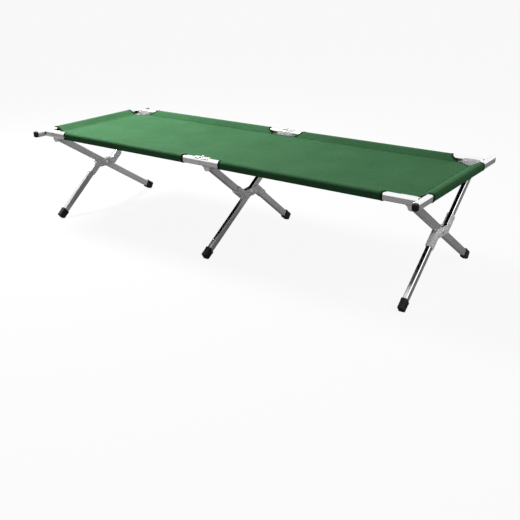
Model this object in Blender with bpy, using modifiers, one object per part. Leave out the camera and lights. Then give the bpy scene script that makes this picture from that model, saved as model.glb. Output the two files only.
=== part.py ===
"""Folding camp bed: two hinged side rails, three scissor leg sets, end bars and a cloth deck.

X runs along the bed, Y across it and Z up. The origin is under the middle of the bed, on the floor.
"""

import math

import bmesh
import bpy
from mathutils import Matrix, Vector

MM = 0.001

# Fits
GAP = 0.3 * MM
FIT = 0.5 * MM
PIN_CLEARANCE = 0.3 * MM

# Side rails
RAIL_SPACING = 608 * MM
RAIL_CENTRE_Z = 409.5 * MM
RAIL_WIDTH = 28 * MM
RAIL_HEIGHT = 30 * MM
RAIL_CORNER = 9 * MM
RAIL_WALL = 1.6 * MM
RAIL_END_X = 917 * MM

# Plugs in the rail ends, with noses that hold the end bars
PLUG_LENGTH = 30 * MM
NOSE_LENGTH = 12 * MM
NOSE_WIDTH = 18 * MM
NOSE_HEIGHT = 11 * MM
NOSE_CORNER = 2 * MM

# End bars
BAR_DEPTH = 25 * MM
BAR_HEIGHT = 29 * MM
BAR_CORNER = 8 * MM
BAR_NEAR_OVERHANG = 38 * MM
BAR_FAR_OVERHANG = 61 * MM
GROOVE_DEPTH = 13.5 * MM
BAR_CAP_HEAD = 12 * MM
BAR_CAP_INSET = 1.5 * MM
BAR_CAP_TONGUE = 22 * MM

# Leg tubes
LEG_DEPTH = 30 * MM
LEG_WIDTH = 18 * MM
LEG_CORNER = 6 * MM
LEG_WALL = 1.5 * MM
LEG_PAST_PIN = 8 * MM
NEST_GAP = 1 * MM

# Scissor geometry, in the plane of one leg set
PIN_Z = 380 * MM
FOOT_Y = 318 * MM
FOOT_Z = 9 * MM
END_SET_X = RAIL_END_X - 32 * MM
MID_SET_X = 8 * MM
HALF_LEG_CLEARANCE = 33 * MM

# Hangers on the rails and the yokes that swing in them
PLATE_LENGTH = 76 * MM
PLATE_HEIGHT = 26 * MM
PLATE_THICKNESS = 2.5 * MM
END_PLATE_SHIFT = 8 * MM
MID_PLATE_SHIFT = 10 * MM
TONGUE_WIDTH = 26 * MM
RIVET_RADIUS = 4 * MM
YOKE_HEIGHT = 22 * MM
YOKE_WALL = 2.5 * MM
YOKE_PAST_PIN = 11 * MM
LEG_END_ROOM = 1.4 * MM
PIN_RADIUS = 4 * MM
PIN_HEAD_RADIUS = 6 * MM
PIN_HEAD = 2.5 * MM

# Hub brackets
HUB_REACH = 100 * MM
HUB_WALL = 2.5 * MM
HUB_MARGIN = 2 * MM
HUB_WAIST = 45 * MM
HUB_SHOULDER = 28 * MM
HUB_PIN_RADIUS = 5 * MM
HUB_PIN_HEAD_RADIUS = 9 * MM
HUB_PIN_HEAD = 2 * MM

# Foot caps
CAP_LENGTH = 42 * MM
CAP_WALL = 2.5 * MM
CAP_END = 12 * MM
CAP_CORNER = 7 * MM

# Hinges at the middle of each rail
HINGE_RISE = 4 * MM
KNUCKLE_RADIUS = 4 * MM
HINGE_PIN_RADIUS = 2 * MM
HINGE_WIDTH = 24 * MM
HINGE_TONGUE = 8 * MM
LEAF_LENGTH = 38 * MM
LEAF_START = 5 * MM
LEAF_THICKNESS = 2.2 * MM
LEAF_LAP = 2 * MM

# Cloth
CLOTH = 1.2 * MM
SLEEVE_WALL = 1.5 * MM
SLEEVE_START_X = 90 * MM
SLEEVE_END_X = RAIL_END_X - 127 * MM
NOTCH_RUN = 52 * MM
NOTCH_DIP = 3 * MM
SEAM_INSET = 17 * MM
SEAM_WIDTH = 3 * MM
DECK_DROP = 5.5 * MM
DECK_SAG = 8 * MM
SAG_START_X = RAIL_END_X - 277 * MM
TAPER_START_X = RAIL_END_X - 92 * MM
HEM_INSET = 48 * MM
HEM_SEAM_X = RAIL_END_X - 27 * MM
HEM_TAIL = 18 * MM
DECK_END_GAP = 1 * MM

# Values worked out from the sizes above
MIDLINE_Y = (BAR_NEAR_OVERHANG + GAP + BAR_CAP_HEAD - BAR_FAR_OVERHANG) / 2
RAIL_Y = RAIL_SPACING / 2
RAIL_INNER = RAIL_Y - RAIL_WIDTH / 2
RAIL_TOP = RAIL_CENTRE_Z + RAIL_HEIGHT / 2
HINGE_Z = RAIL_TOP + HINGE_RISE
BAR_X = RAIL_END_X + FIT + BAR_DEPTH / 2
SEAM_Y = RAIL_INNER - SEAM_INSET
DECK_Z = RAIL_CENTRE_Z - DECK_DROP
HANGER_INNER = RAIL_INNER - GAP - PLATE_THICKNESS
YOKE_OUTER = HANGER_INNER - GAP
LEG_END_RADIUS = math.hypot(LEG_DEPTH / 2, LEG_PAST_PIN)
PIN_Y = YOKE_OUTER - YOKE_WALL - LEG_END_ROOM - LEG_END_RADIUS
SLOPE = (PIN_Z - FOOT_Z) / (PIN_Y + FOOT_Y)
HUB_Z = PIN_Z - SLOPE * PIN_Y
ARM = math.hypot(PIN_Y, PIN_Z - HUB_Z)
LEAN = math.atan2(PIN_Y, PIN_Z - HUB_Z)
CRANK = LEG_DEPTH + NEST_GAP
CRANK_ANGLE = math.asin(CRANK / ARM)
CRANK_ARM = math.sqrt(ARM**2 - CRANK**2)

ALUMINIUM = ("polished_aluminium", (0.80, 0.81, 0.83, 1), 0.25, 1.0)
CAST = ("dull_aluminium", (0.55, 0.55, 0.56, 1), 0.5, 1.0)
STEEL = ("zinc_steel", (0.62, 0.62, 0.6, 1), 0.35, 1.0)
RUBBER = ("black_rubber", (0.02, 0.02, 0.022, 1), 0.7, 0.0)
POLYESTER = ("green_polyester", (0.04, 0.16, 0.06, 1), 0.8, 0.0)


def material(finish):
    """The named Principled material, made once."""
    name, colour, roughness, metallic = finish
    found = bpy.data.materials.get(name)
    if found:
        return found
    made = bpy.data.materials.new(name)
    made.use_nodes = True
    shader = made.node_tree.nodes["Principled BSDF"]
    shader.inputs["Base Color"].default_value = colour
    shader.inputs["Roughness"].default_value = roughness
    shader.inputs["Metallic"].default_value = metallic
    return made


def frame_of(origin, x_axis, y_axis):
    """A matrix whose local x and y run along the two axes given, at the origin given."""
    x = Vector(x_axis).normalized()
    y = Vector(y_axis).normalized()
    z = x.cross(y)
    turned = Matrix((x, y, z)).transposed().to_4x4()
    return Matrix.Translation(Vector(origin)) @ turned


def arc(centre, radius, start, end, steps):
    """Points on an arc, angles in degrees."""
    angles = [math.radians(start + (end - start) * i / steps) for i in range(steps + 1)]
    return [(centre[0] + radius * math.cos(a), centre[1] + radius * math.sin(a)) for a in angles]


def rounded_box(width, height, radius, steps=4):
    """The outline of a rounded rectangle about its centre."""
    points = []
    for quarter, (sx, sy) in enumerate(((1, 1), (-1, 1), (-1, -1), (1, -1))):
        centre = (sx * (width / 2 - radius), sy * (height / 2 - radius))
        points += arc(centre, radius, 90 * quarter, 90 * quarter + 90, steps)
    return points


def hull(points):
    """The convex outline round some points, anticlockwise."""
    ordered = sorted(set(points))
    outline = []
    for run in (ordered, ordered[::-1]):
        side = []
        for x, y in run:
            while len(side) > 1:
                (ax, ay), (bx, by) = side[-2:]
                if (bx - ax) * (y - ay) - (by - ay) * (x - ax) > 0:
                    break
                side.pop()
            side.append((x, y))
        outline += side[:-1]
    return outline


def baked(obj):
    """A mesh object in place of a curve or of an object with modifiers, its doubles merged."""
    bpy.context.view_layer.update()
    graph = bpy.context.evaluated_depsgraph_get()
    mesh = bpy.data.meshes.new_from_object(obj.evaluated_get(graph))
    merged = bmesh.new()
    merged.from_mesh(mesh)
    bmesh.ops.remove_doubles(merged, verts=merged.verts, dist=1e-6)
    bmesh.ops.recalc_face_normals(merged, faces=merged.faces)
    merged.to_mesh(mesh)
    merged.free()
    solid = bpy.data.objects.new(obj.name, mesh)
    solid.matrix_world = obj.matrix_world
    name = obj.name
    bpy.data.objects.remove(obj)
    solid.name = name
    bpy.context.scene.collection.objects.link(solid)
    return solid


def prism(name, loops, start, end, place):
    """Closed outlines in the local XY plane, extruded from start to end along local Z."""
    curve = bpy.data.curves.new(name, "CURVE")
    curve.dimensions = "2D"
    curve.fill_mode = "BOTH"
    curve.extrude = (end - start) / 2
    for loop in loops:
        spline = curve.splines.new("POLY")
        spline.points.add(len(loop) - 1)
        for point, (x, y) in zip(spline.points, loop):
            point.co = (x, y, 0, 1)
        spline.use_cyclic_u = True
    obj = bpy.data.objects.new(name, curve)
    obj.matrix_world = place @ Matrix.Translation((0, 0, (start + end) / 2))
    bpy.context.scene.collection.objects.link(obj)
    return baked(obj)


def cylinder(name, radius, start, end, place, segments=24):
    """A cylinder along local Z from start to end."""
    mesh = bpy.data.meshes.new(name)
    solid = bmesh.new()
    bmesh.ops.create_cone(
        solid, cap_ends=True, segments=segments, radius1=radius, radius2=radius, depth=end - start
    )
    solid.to_mesh(mesh)
    solid.free()
    obj = bpy.data.objects.new(name, mesh)
    obj.matrix_world = place @ Matrix.Translation((0, 0, (start + end) / 2))
    bpy.context.scene.collection.objects.link(obj)
    return obj


def combine(obj, other, operation):
    """Joins or cuts with another object, which is then removed."""
    modifier = obj.modifiers.new(operation.lower(), "BOOLEAN")
    modifier.operation = operation
    modifier.solver = "EXACT"
    modifier.object = other
    made = baked(obj)
    bpy.data.objects.remove(other)
    return made


def join(obj, other):
    """The union of two overlapping solids."""
    return combine(obj, other, "UNION")


def cut(obj, other):
    """The first solid with the second taken out of it."""
    return combine(obj, other, "DIFFERENCE")


def capsule(name, radius, length, head_radius, head, place):
    """A pin along local Z, centred, with a head past each end of the length given."""
    reach = length / 2 + head / 2
    pin = cylinder(name, radius, -reach, reach, place)
    for side in (-1, 1):
        near, far = sorted((side * length / 2, side * (length / 2 + head)))
        pin = join(pin, cylinder("head", head_radius, near, far, place))
    return pin


class Bed:
    """The bed's collection and its body empties, each on the axis that it moves about."""

    def __init__(self):
        self.parts = bpy.data.collections.new("folding_camp_bed")
        bpy.context.scene.collection.children.link(self.parts)
        self.bodies = {}

    def body(self, name, origin, parent=None):
        """An empty that carries the pieces that move together."""
        empty = bpy.data.objects.new("body_" + name, None)
        empty.empty_display_size = 0.03
        self.parts.objects.link(empty)
        base = Vector((0, -MIDLINE_Y, 0))
        if parent:
            empty.parent, base = self.bodies[parent]
        empty.location = Vector(origin) - base
        self.bodies[name] = (empty, Vector(origin))

    def add(self, obj, body, finish):
        """Hangs a finished solid on its body, with its material and smooth round faces."""
        empty, origin = self.bodies[body]
        bpy.context.scene.collection.objects.unlink(obj)
        self.parts.objects.link(obj)
        world = obj.matrix_world.copy()
        obj.parent = empty
        obj.matrix_local = Matrix.Translation(-origin) @ world
        obj.data.materials.clear()
        obj.data.materials.append(material(finish))
        obj.data.shade_smooth()
        obj.data.set_sharp_from_angle(angle=math.radians(35))


SIDES = {"front": -1, "rear": 1}
HALVES = {"left": -1, "right": 1}
SETS = {"left": -END_SET_X, "mid": MID_SET_X, "right": END_SET_X}


def make_bodies(bed):
    """The tree of moving bodies, from the right half of the front rail outwards."""
    bed.body("front_right", (0, 0, 0))
    bed.body("front_left", (0, -RAIL_Y, HINGE_Z), "front_right")
    front = {"left": "front_left", "mid": "front_right", "right": "front_right"}
    rear = {"left": "rear_left", "right": "rear_right"}
    for name in ("mid", "left", "right"):
        x = SETS[name]
        bed.body(name + "_front_yoke", (x, -PIN_Y, PIN_Z), front[name])
        bed.body(name + "_front_leg", (x, -PIN_Y, PIN_Z), name + "_front_yoke")
        bed.body(name + "_rear_leg", (x, 0, HUB_Z), name + "_front_leg")
        if name == "mid":
            bed.body("mid_rear_yoke", (x, PIN_Y, PIN_Z), "mid_rear_leg")
            bed.body("rear_right", (x, PIN_Y, PIN_Z), "mid_rear_yoke")
            bed.body("rear_left", (0, RAIL_Y, HINGE_Z), "rear_right")
        else:
            bed.body(name + "_rear_yoke", (x, PIN_Y, PIN_Z), rear[name])
    for half, hx in HALVES.items():
        bed.body("end_bar_" + half, (hx * BAR_X, 0, RAIL_CENTRE_Z), "front_" + half)


def make_rail(bed, side, half):
    """One half of a side rail, with the plug in its outer end."""
    sy, hx = SIDES[side], HALVES[half]
    place = frame_of((0, sy * RAIL_Y, RAIL_CENTRE_Z), (0, hx, 0), (0, 0, 1))
    outer = rounded_box(RAIL_WIDTH, RAIL_HEIGHT, RAIL_CORNER)
    bore = (RAIL_WIDTH - 2 * RAIL_WALL, RAIL_HEIGHT - 2 * RAIL_WALL, RAIL_CORNER - RAIL_WALL)
    rail = prism(f"{side}_rail_{half}", [outer, rounded_box(*bore)], GAP, RAIL_END_X, place)
    bed.add(rail, f"{side}_{half}", ALUMINIUM)

    body = rounded_box(bore[0] - 2 * GAP, bore[1] - 2 * GAP, bore[2] - GAP)
    plug = prism(f"{side}_rail_plug_{half}", [body], RAIL_END_X - PLUG_LENGTH, RAIL_END_X, place)
    nose = rounded_box(NOSE_WIDTH, NOSE_HEIGHT, NOSE_CORNER, 2)
    tip = RAIL_END_X + NOSE_LENGTH
    plug = join(plug, prism("nose", [nose], RAIL_END_X - NOSE_LENGTH, tip, place))
    bed.add(plug, f"{side}_{half}", RUBBER)


def make_hinge(bed, side):
    """The hinge on top of a rail's middle: a leaf on each half, and the pin."""
    sy = SIDES[side]
    flat = frame_of((0, sy * RAIL_Y, RAIL_TOP), (1, 0, 0), (0, 1, 0))
    axis = frame_of((0, sy * RAIL_Y, HINGE_Z), (0, 0, 1), (1, 0, 0))
    edge, tongue = HINGE_WIDTH / 2, HINGE_TONGUE / 2
    for half, hx in HALVES.items():
        if half == "left":
            spans = [(-tongue, tongue)]
        else:
            spans = [(tongue + GAP, edge), (-edge, -tongue - GAP)]
        plate = [
            (hx * LEAF_START, -edge),
            (hx * LEAF_LENGTH, -edge),
            (hx * LEAF_LENGTH, edge),
            (hx * LEAF_START, edge),
        ]
        leaf = prism(f"{side}_hinge_leaf_{half}", [plate], GAP, GAP + LEAF_THICKNESS, flat)
        for low, high in spans:
            reach = (hx * KNUCKLE_RADIUS / 2, hx * (LEAF_START + LEAF_LAP))
            arm = [(reach[0], low), (reach[1], low), (reach[1], high), (reach[0], high)]
            low_z, high_z = 2 * GAP, LEAF_THICKNESS
            leaf = join(leaf, prism("arm", [arm], low_z, high_z, flat))
            leaf = join(leaf, cylinder("knuckle", KNUCKLE_RADIUS - GAP, low, high, axis, 20))
        bore = HINGE_PIN_RADIUS + PIN_CLEARANCE
        leaf = cut(leaf, cylinder("bore", bore, -HINGE_WIDTH, HINGE_WIDTH, axis, 16))
        bed.add(leaf, f"{side}_{half}", STEEL)
    pin = cylinder(f"{side}_hinge_pin", HINGE_PIN_RADIUS, -edge, edge, axis, 16)
    bed.add(pin, f"{side}_right", STEEL)


def hanger_outline(shift):
    """An oval plate with a tongue that hangs below it. The tongue's end is round about the rivet."""
    half, flat = PLATE_HEIGHT / 2, PLATE_LENGTH / 2 - PLATE_HEIGHT / 2
    drop = PIN_Z - RAIL_CENTRE_Z
    points = arc((shift - flat, 0), half, 90, 270, 8)
    points += arc((0, drop), TONGUE_WIDTH / 2, 180, 360, 10)
    points += arc((shift + flat, 0), half, -90, 90, 8)
    return points


def make_hanger(bed, name, side, half):
    """The plate riveted inside a rail, with the rivet that a yoke swings on."""
    sy, x = SIDES[side], SETS[name]
    shifts = {"left": END_PLATE_SHIFT, "mid": -MID_PLATE_SHIFT, "right": -END_PLATE_SHIFT}
    shift = shifts[name]
    place = frame_of((x, sy * RAIL_INNER, RAIL_CENTRE_Z), (sy, 0, 0), (0, 0, 1))
    outline = hanger_outline(sy * shift)
    plate = prism(f"{name}_hanger_{side}", [outline], GAP, GAP + PLATE_THICKNESS, place)
    axis = frame_of((x, sy * RAIL_INNER, PIN_Z), (sy, 0, 0), (0, 0, 1))
    near, far = GAP + PLATE_THICKNESS / 2, RAIL_INNER - YOKE_OUTER + YOKE_WALL
    plate = join(plate, cylinder("rivet", RIVET_RADIUS, near, far, axis))
    bed.add(plate, f"{side}_{half}", CAST)


def make_yoke(bed, name, side):
    """The channel that swings on the hanger's rivet and holds the top of a leg on a cross pin."""
    sy, x = SIDES[side], SETS[name]
    place = frame_of((x, sy * PIN_Y, PIN_Z), (1, 0, 0), (0, 1, 0))
    inside = LEG_WIDTH / 2 + FIT
    outside = inside + YOKE_WALL
    back, web, tip = YOKE_OUTER - PIN_Y, YOKE_OUTER - PIN_Y - YOKE_WALL, -YOKE_PAST_PIN
    channel = [
        (-outside, tip),
        (-inside, tip),
        (-inside, web),
        (inside, web),
        (inside, tip),
        (outside, tip),
        (outside, back),
        (-outside, back),
    ]
    channel = [(px, sy * py) for px, py in channel]
    yoke = prism(f"{name}_yoke_{side}", [channel], -YOKE_HEIGHT / 2, YOKE_HEIGHT / 2, place)
    axis = frame_of((x, sy * PIN_Y, PIN_Z), (0, 1, 0), (0, 0, 1))
    grip = 2 * outside - YOKE_WALL
    yoke = join(yoke, capsule("pin", PIN_RADIUS, grip, PIN_HEAD_RADIUS, PIN_HEAD, axis))
    across = frame_of((x, 0, PIN_Z), (0, 0, 1), (1, 0, 0))
    ends = sorted((sy * (YOKE_OUTER - YOKE_WALL - GAP), sy * (YOKE_OUTER + YOKE_WALL)))
    bore = RIVET_RADIUS + PIN_CLEARANCE
    yoke = cut(yoke, cylinder("bore", bore, ends[0], ends[1], across))
    bed.add(yoke, f"{name}_{side}_yoke", CAST)


def leg_tube(name, place, start, end):
    """A leg tube along local Z, hollow and open at both ends."""
    outer = rounded_box(LEG_WIDTH, LEG_DEPTH, LEG_CORNER, 3)
    inner = rounded_box(LEG_WIDTH - 2 * LEG_WALL, LEG_DEPTH - 2 * LEG_WALL, LEG_CORNER - LEG_WALL, 3)
    return prism(name, [outer, inner], start, end, place)


def foot_cap(name, place, start, end):
    """A rubber cap along local Z whose lowest corner is cut flat at the floor."""
    size = (LEG_WIDTH + 2 * (GAP + CAP_WALL), LEG_DEPTH + 2 * (GAP + CAP_WALL))
    pocket = (LEG_WIDTH + 2 * GAP, LEG_DEPTH + 2 * GAP, LEG_CORNER + GAP, 3)
    cap = prism(name, [rounded_box(*size, CAP_CORNER, 3)], start, end, place)
    cap = cut(cap, prism("pocket", [rounded_box(*pocket)], start + CAP_END, end + CAP_END, place))
    floor = frame_of((place.translation.x, 0, 0), (1, 0, 0), (0, 1, 0))
    below = rounded_box(2 * CAP_LENGTH, 2 * RAIL_SPACING, CAP_CORNER, 1)
    return cut(cap, prism("floor", [below], -CAP_LENGTH, 0, floor))


def pin_hole(leg, x, y, z, radius):
    """The leg with a hole along X for a pin."""
    axis = frame_of((x, y, z), (0, 1, 0), (0, 0, 1))
    return cut(leg, cylinder("hole", radius + PIN_CLEARANCE, -LEG_WIDTH, LEG_WIDTH, axis))


def leg_place(x, turn, offset, lean):
    """A frame at the hub whose local Z runs up a leg that leans by lean towards the side turn."""
    up = Vector((0, turn * math.sin(lean), math.cos(lean)))
    out = Vector((0, turn * math.cos(lean), -math.sin(lean)))
    centre = Vector((x, 0, HUB_Z)) + out * offset
    across = Vector((turn, 0, 0))
    return frame_of(centre, across, up.cross(across)), up


def sole_drop(lean):
    """How far a leg's axis ends above the floor, so that its cap is cut as deep on every leg."""
    reach = LEG_DEPTH / 2 + GAP + CAP_WALL
    return FOOT_Z + reach * (math.sin(lean) - math.sin(LEAN))


def make_straight_leg(bed, name, side):
    """The leg of a set that runs straight from its rail to the foot on the other side."""
    turn, x, body = SIDES[side], SETS[name], f"{name}_{side}_leg"
    place, up = leg_place(x, turn, 0, LEAN)
    foot = -(HUB_Z - sole_drop(LEAN)) / math.cos(LEAN)
    leg = leg_tube(body, place, foot + CAP_END + GAP, ARM + LEG_PAST_PIN)
    leg = pin_hole(leg, x, turn * PIN_Y, PIN_Z, PIN_RADIUS)
    leg = pin_hole(leg, x, 0, HUB_Z, HUB_PIN_RADIUS)
    bed.add(leg, body, ALUMINIUM)
    bed.add(foot_cap(f"{name}_{side}_foot_cap", place, foot, foot + CAP_LENGTH), body, RUBBER)


def make_cranked_leg(bed, name, side):
    """The leg in two halves, offset to pass each side of the straight leg, with their hub bracket."""
    turn, x, body = SIDES[side], SETS[name], f"{name}_{side}_leg"
    lean = LEAN - CRANK_ANGLE
    upper, up = leg_place(x, turn, CRANK, lean)
    lower, up = leg_place(x, turn, -CRANK, lean)
    leg = leg_tube(body + "_upper", upper, HALF_LEG_CLEARANCE, CRANK_ARM + LEG_PAST_PIN)
    leg = pin_hole(leg, x, turn * PIN_Y, PIN_Z, PIN_RADIUS)
    bed.add(leg, body, ALUMINIUM)
    rise = lower.translation.z - sole_drop(lean)
    foot = -rise / math.cos(lean)
    leg = leg_tube(body + "_lower", lower, foot + CAP_END + GAP, -HALF_LEG_CLEARANCE)
    bed.add(leg, body, ALUMINIUM)
    bed.add(foot_cap(f"{name}_{side}_foot_cap", lower, foot, foot + CAP_LENGTH), body, RUBBER)
    bed.add(hub_bracket(name, x, turn, lean), body, CAST)
    axis = frame_of((x, 0, HUB_Z), (0, 1, 0), (0, 0, 1))
    length = LEG_WIDTH + 2 * (FIT + HUB_WALL + GAP)
    pin = capsule(f"{name}_hub_pin", HUB_PIN_RADIUS, length, HUB_PIN_HEAD_RADIUS, HUB_PIN_HEAD, axis)
    bed.add(pin, body, STEEL)


def hub_bracket(name, x, turn, lean):
    """Two cheeks beside the legs, joined by webs along the outer edges of the half legs."""
    centre, up = leg_place(x, turn, 0, lean)
    out = Vector((0, turn * math.cos(lean), -math.sin(lean)))
    place = frame_of(centre.translation, out, up)
    edge = CRANK + LEG_DEPTH / 2 + GAP
    rim = edge + HUB_MARGIN
    inner = CRANK - LEG_DEPTH / 2 - GAP
    half = [
        (rim, HUB_SHOULDER),
        (rim, HUB_REACH),
        (inner, HUB_REACH),
        (inner, HUB_WAIST),
    ]
    outline = half + [(-px, -py) for px, py in half]
    low, high = LEG_WIDTH / 2 + FIT, LEG_WIDTH / 2 + FIT + HUB_WALL
    bracket = prism(f"{name}_hub_bracket", [outline], -high, -low, place)
    for side in (1, -1):
        foot, top = sorted((side * HUB_WAIST, side * HUB_REACH))
        strip_edges = sorted((side * edge, side * rim))
        web = [
            (strip_edges[0], foot),
            (strip_edges[1], foot),
            (strip_edges[1], top),
            (strip_edges[0], top),
        ]
        bracket = join(bracket, prism("web", [web], -low - HUB_WALL / 2, low + HUB_WALL / 2, place))
    bracket = join(bracket, prism("cheek", [outline], low, high, place))
    hole = HUB_PIN_RADIUS + PIN_CLEARANCE
    return cut(bracket, cylinder("hole", hole, -2 * LEG_WIDTH, 2 * LEG_WIDTH, place))


def make_scissor(bed, name):
    """One set of crossed legs. The middle set has its crank in the other leg."""
    cranked = "front" if name == "mid" else "rear"
    for side in SIDES:
        half = "left" if name == "left" else "right"
        make_hanger(bed, name, side, half)
        make_yoke(bed, name, side)
        if side == cranked:
            make_cranked_leg(bed, name, side)
        else:
            make_straight_leg(bed, name, side)


def make_end_bar(bed, half):
    """The grooved bar across one end of the bed, with the rubber cap that plugs its front end."""
    hx, body = HALVES[half], "end_bar_" + half
    place = frame_of((hx * BAR_X, 0, RAIL_CENTRE_Z), (0, 0, 1), (1, 0, 0))
    front = -(RAIL_Y + RAIL_WIDTH / 2 + BAR_NEAR_OVERHANG)
    rear = RAIL_Y + RAIL_WIDTH / 2 + BAR_FAR_OVERHANG
    section = rounded_box(BAR_HEIGHT, BAR_DEPTH, BAR_CORNER)
    bar = prism(body, [section], front, rear, place)
    low, high = sorted((-hx * BAR_DEPTH, -hx * (BAR_DEPTH / 2 - GROOVE_DEPTH)))
    mouth = NOSE_HEIGHT / 2 + FIT
    groove = [(-mouth, low), (mouth, low), (mouth, high), (-mouth, high)]
    bar = cut(bar, prism("groove", [groove], front - BAR_DEPTH, rear + BAR_DEPTH, place))
    bed.add(bar, body, ALUMINIUM)

    slim = 2 * BAR_CAP_INSET
    head = rounded_box(BAR_HEIGHT - slim, BAR_DEPTH - slim, BAR_CORNER - BAR_CAP_INSET)
    cap = prism(f"{body}_cap", [head], front - GAP - BAR_CAP_HEAD, front - GAP, place)
    near, far = BAR_DEPTH / 2 - BAR_CAP_INSET - GAP, BAR_DEPTH / 2 - GROOVE_DEPTH + GAP
    low, high = sorted((-hx * near, -hx * far))
    thick = mouth - GAP
    tongue = [(-thick, low), (thick, low), (thick, high), (-thick, high)]
    start = front - GAP - BAR_CAP_HEAD / 2
    cap = join(cap, prism("tongue", [tongue], start, front + BAR_CAP_TONGUE, place))
    bed.add(cap, body, RUBBER)


def notch(side, half, mirrored):
    """Cuts a sleeve's end back in a curve, from the seam out to the top of the rail."""
    sy, hx = SIDES[side], HALVES[half]
    depth = RAIL_Y - SEAM_Y + NOTCH_DIP
    start = SLEEVE_START_X - NOTCH_RUN
    curve = []
    for px, py in arc((0, 0), 1, 270, 360, 8):
        curve.append((start + NOTCH_RUN * px, RAIL_Y + depth * py))
    beyond = RAIL_Y + RAIL_WIDTH
    edge = start - RAIL_WIDTH
    loop = curve + [(SLEEVE_START_X, beyond), (edge, beyond), (edge, RAIL_Y - depth)]
    if mirrored:
        loop = [(SLEEVE_START_X + SLEEVE_END_X - px, py) for px, py in loop]
    loop = [(hx * px, sy * py) for px, py in loop]
    level = frame_of((0, 0, RAIL_CENTRE_Z), (1, 0, 0), (0, 1, 0))
    return prism("notch", [loop], -RAIL_HEIGHT, RAIL_HEIGHT, level)


def make_sleeve(bed, side, half):
    """The cloth sleeve round one half of a rail, drawn in to the seam where the deck joins it."""
    sy, hx = SIDES[side], HALVES[half]
    place = frame_of((0, sy * RAIL_Y, RAIL_CENTRE_Z), (0, hx, 0), (0, 0, 1))
    wall = GAP + SLEEVE_WALL
    tip, level = -sy * hx * (RAIL_Y - SEAM_Y), CLOTH / 2 - DECK_DROP
    void = -sy * hx * (RAIL_Y - SEAM_Y - SEAM_WIDTH)
    outer = rounded_box(RAIL_WIDTH + 2 * wall, RAIL_HEIGHT + 2 * wall, RAIL_CORNER + wall)
    outer = hull(outer + [(tip, level - SLEEVE_WALL), (tip, level + SLEEVE_WALL)])
    inner = rounded_box(RAIL_WIDTH + 2 * GAP, RAIL_HEIGHT + 2 * GAP, RAIL_CORNER + GAP)
    inner = hull(inner + [(void, level)])
    start, end = SLEEVE_START_X - NOTCH_RUN, SLEEVE_END_X + NOTCH_RUN
    sleeve = prism(f"{side}_sleeve_{half}", [outer, inner], start, end, place)
    for mirrored in (False, True):
        sleeve = cut(sleeve, notch(side, half, mirrored))
    bed.add(sleeve, f"{side}_{half}", POLYESTER)


def smooth(value):
    """Eases a value from 0 to 1."""
    value = min(max(value, 0), 1)
    return value * value * (3 - 2 * value)


def deck_edge(x):
    """How far the deck reaches from the midline at x: to the sleeves' seams, and less at the hems."""
    side, hem = SEAM_Y - GAP, RAIL_INNER - HEM_INSET
    return side + (hem - side) * smooth((x - TAPER_START_X) / (HEM_SEAM_X - TAPER_START_X))


def deck_height(x, y):
    """The underside of the deck: it sags between the sleeves, and levels out towards the hems."""
    across = 1 - (y / SEAM_Y) ** 2
    along = 1 - smooth((x - SAG_START_X) / (HEM_SEAM_X - SAG_START_X))
    return DECK_Z - DECK_SAG * across * along


def deck_stations():
    """Places along the deck, closer together where it levels out and narrows."""
    marks = [GAP / 2, SAG_START_X, TAPER_START_X, HEM_SEAM_X - DECK_END_GAP]
    stations = marks[:1]
    for start, end, steps in zip(marks, marks[1:], (5, 4, 4)):
        stations += [start + (end - start) * i / steps for i in range(1, steps + 1)]
    return stations


def make_deck(bed, half):
    """The cloth between the rails on one half of the bed."""
    hx = HALVES[half]
    rows, across = deck_stations(), 10
    mesh = bmesh.new()
    bmesh.ops.create_grid(mesh, x_segments=len(rows) - 1, y_segments=across, size=1)
    for vert in mesh.verts:
        row = round((vert.co.x + 1) / 2 * (len(rows) - 1))
        x = rows[row]
        y = vert.co.y * deck_edge(x)
        vert.co = Vector((hx * x, y, deck_height(x, y)))
    data = bpy.data.meshes.new("deck")
    mesh.to_mesh(data)
    mesh.free()
    obj = bpy.data.objects.new(f"deck_cloth_{half}", data)
    bpy.context.scene.collection.objects.link(obj)
    shell = obj.modifiers.new("thickness", "SOLIDIFY")
    shell.thickness = CLOTH
    shell.offset = hx
    bed.add(baked(obj), f"front_{half}", POLYESTER)


def make_hem(bed, half):
    """The cloth hem round an end bar, drawn in to its seam, with a flat tail under the deck."""
    hx = HALVES[half]
    place = frame_of((hx * BAR_X, 0, RAIL_CENTRE_Z), (0, 0, 1), (1, 0, 0))
    wall = GAP + CLOTH
    high = -DECK_DROP - GAP
    low = high - 2 * CLOTH
    seam = hx * (HEM_SEAM_X - BAR_X)
    tail = seam - hx * HEM_TAIL
    outer = rounded_box(BAR_HEIGHT + 2 * wall, BAR_DEPTH + 2 * wall, BAR_CORNER + wall)
    outline = []
    for px, py in hull(outer + [(low, seam), (high, seam)]):
        corners = [(px, py), (px, tail)] if py == seam else [(px, py)]
        if outline and outline[-1][1] == tail:
            corners.reverse()
        outline += corners
    inner = rounded_box(BAR_HEIGHT + 2 * GAP, BAR_DEPTH + 2 * GAP, BAR_CORNER + GAP)
    inner = hull(inner + [((low + high) / 2, seam + hx * SEAM_WIDTH)])
    end = RAIL_INNER - HEM_INSET
    hem = prism(f"end_hem_{half}", [outline, inner], -end, end, place)
    bed.add(hem, "end_bar_" + half, POLYESTER)


def main():
    """Builds the bed."""
    for obj in list(bpy.data.objects):
        bpy.data.objects.remove(obj)
    bed = Bed()
    make_bodies(bed)
    for side in SIDES:
        for half in HALVES:
            make_rail(bed, side, half)
            make_sleeve(bed, side, half)
        make_hinge(bed, side)
    for name in SETS:
        make_scissor(bed, name)
    for half in HALVES:
        make_end_bar(bed, half)
        make_deck(bed, half)
        make_hem(bed, half)
    bpy.context.view_layer.update()


main()
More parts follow.
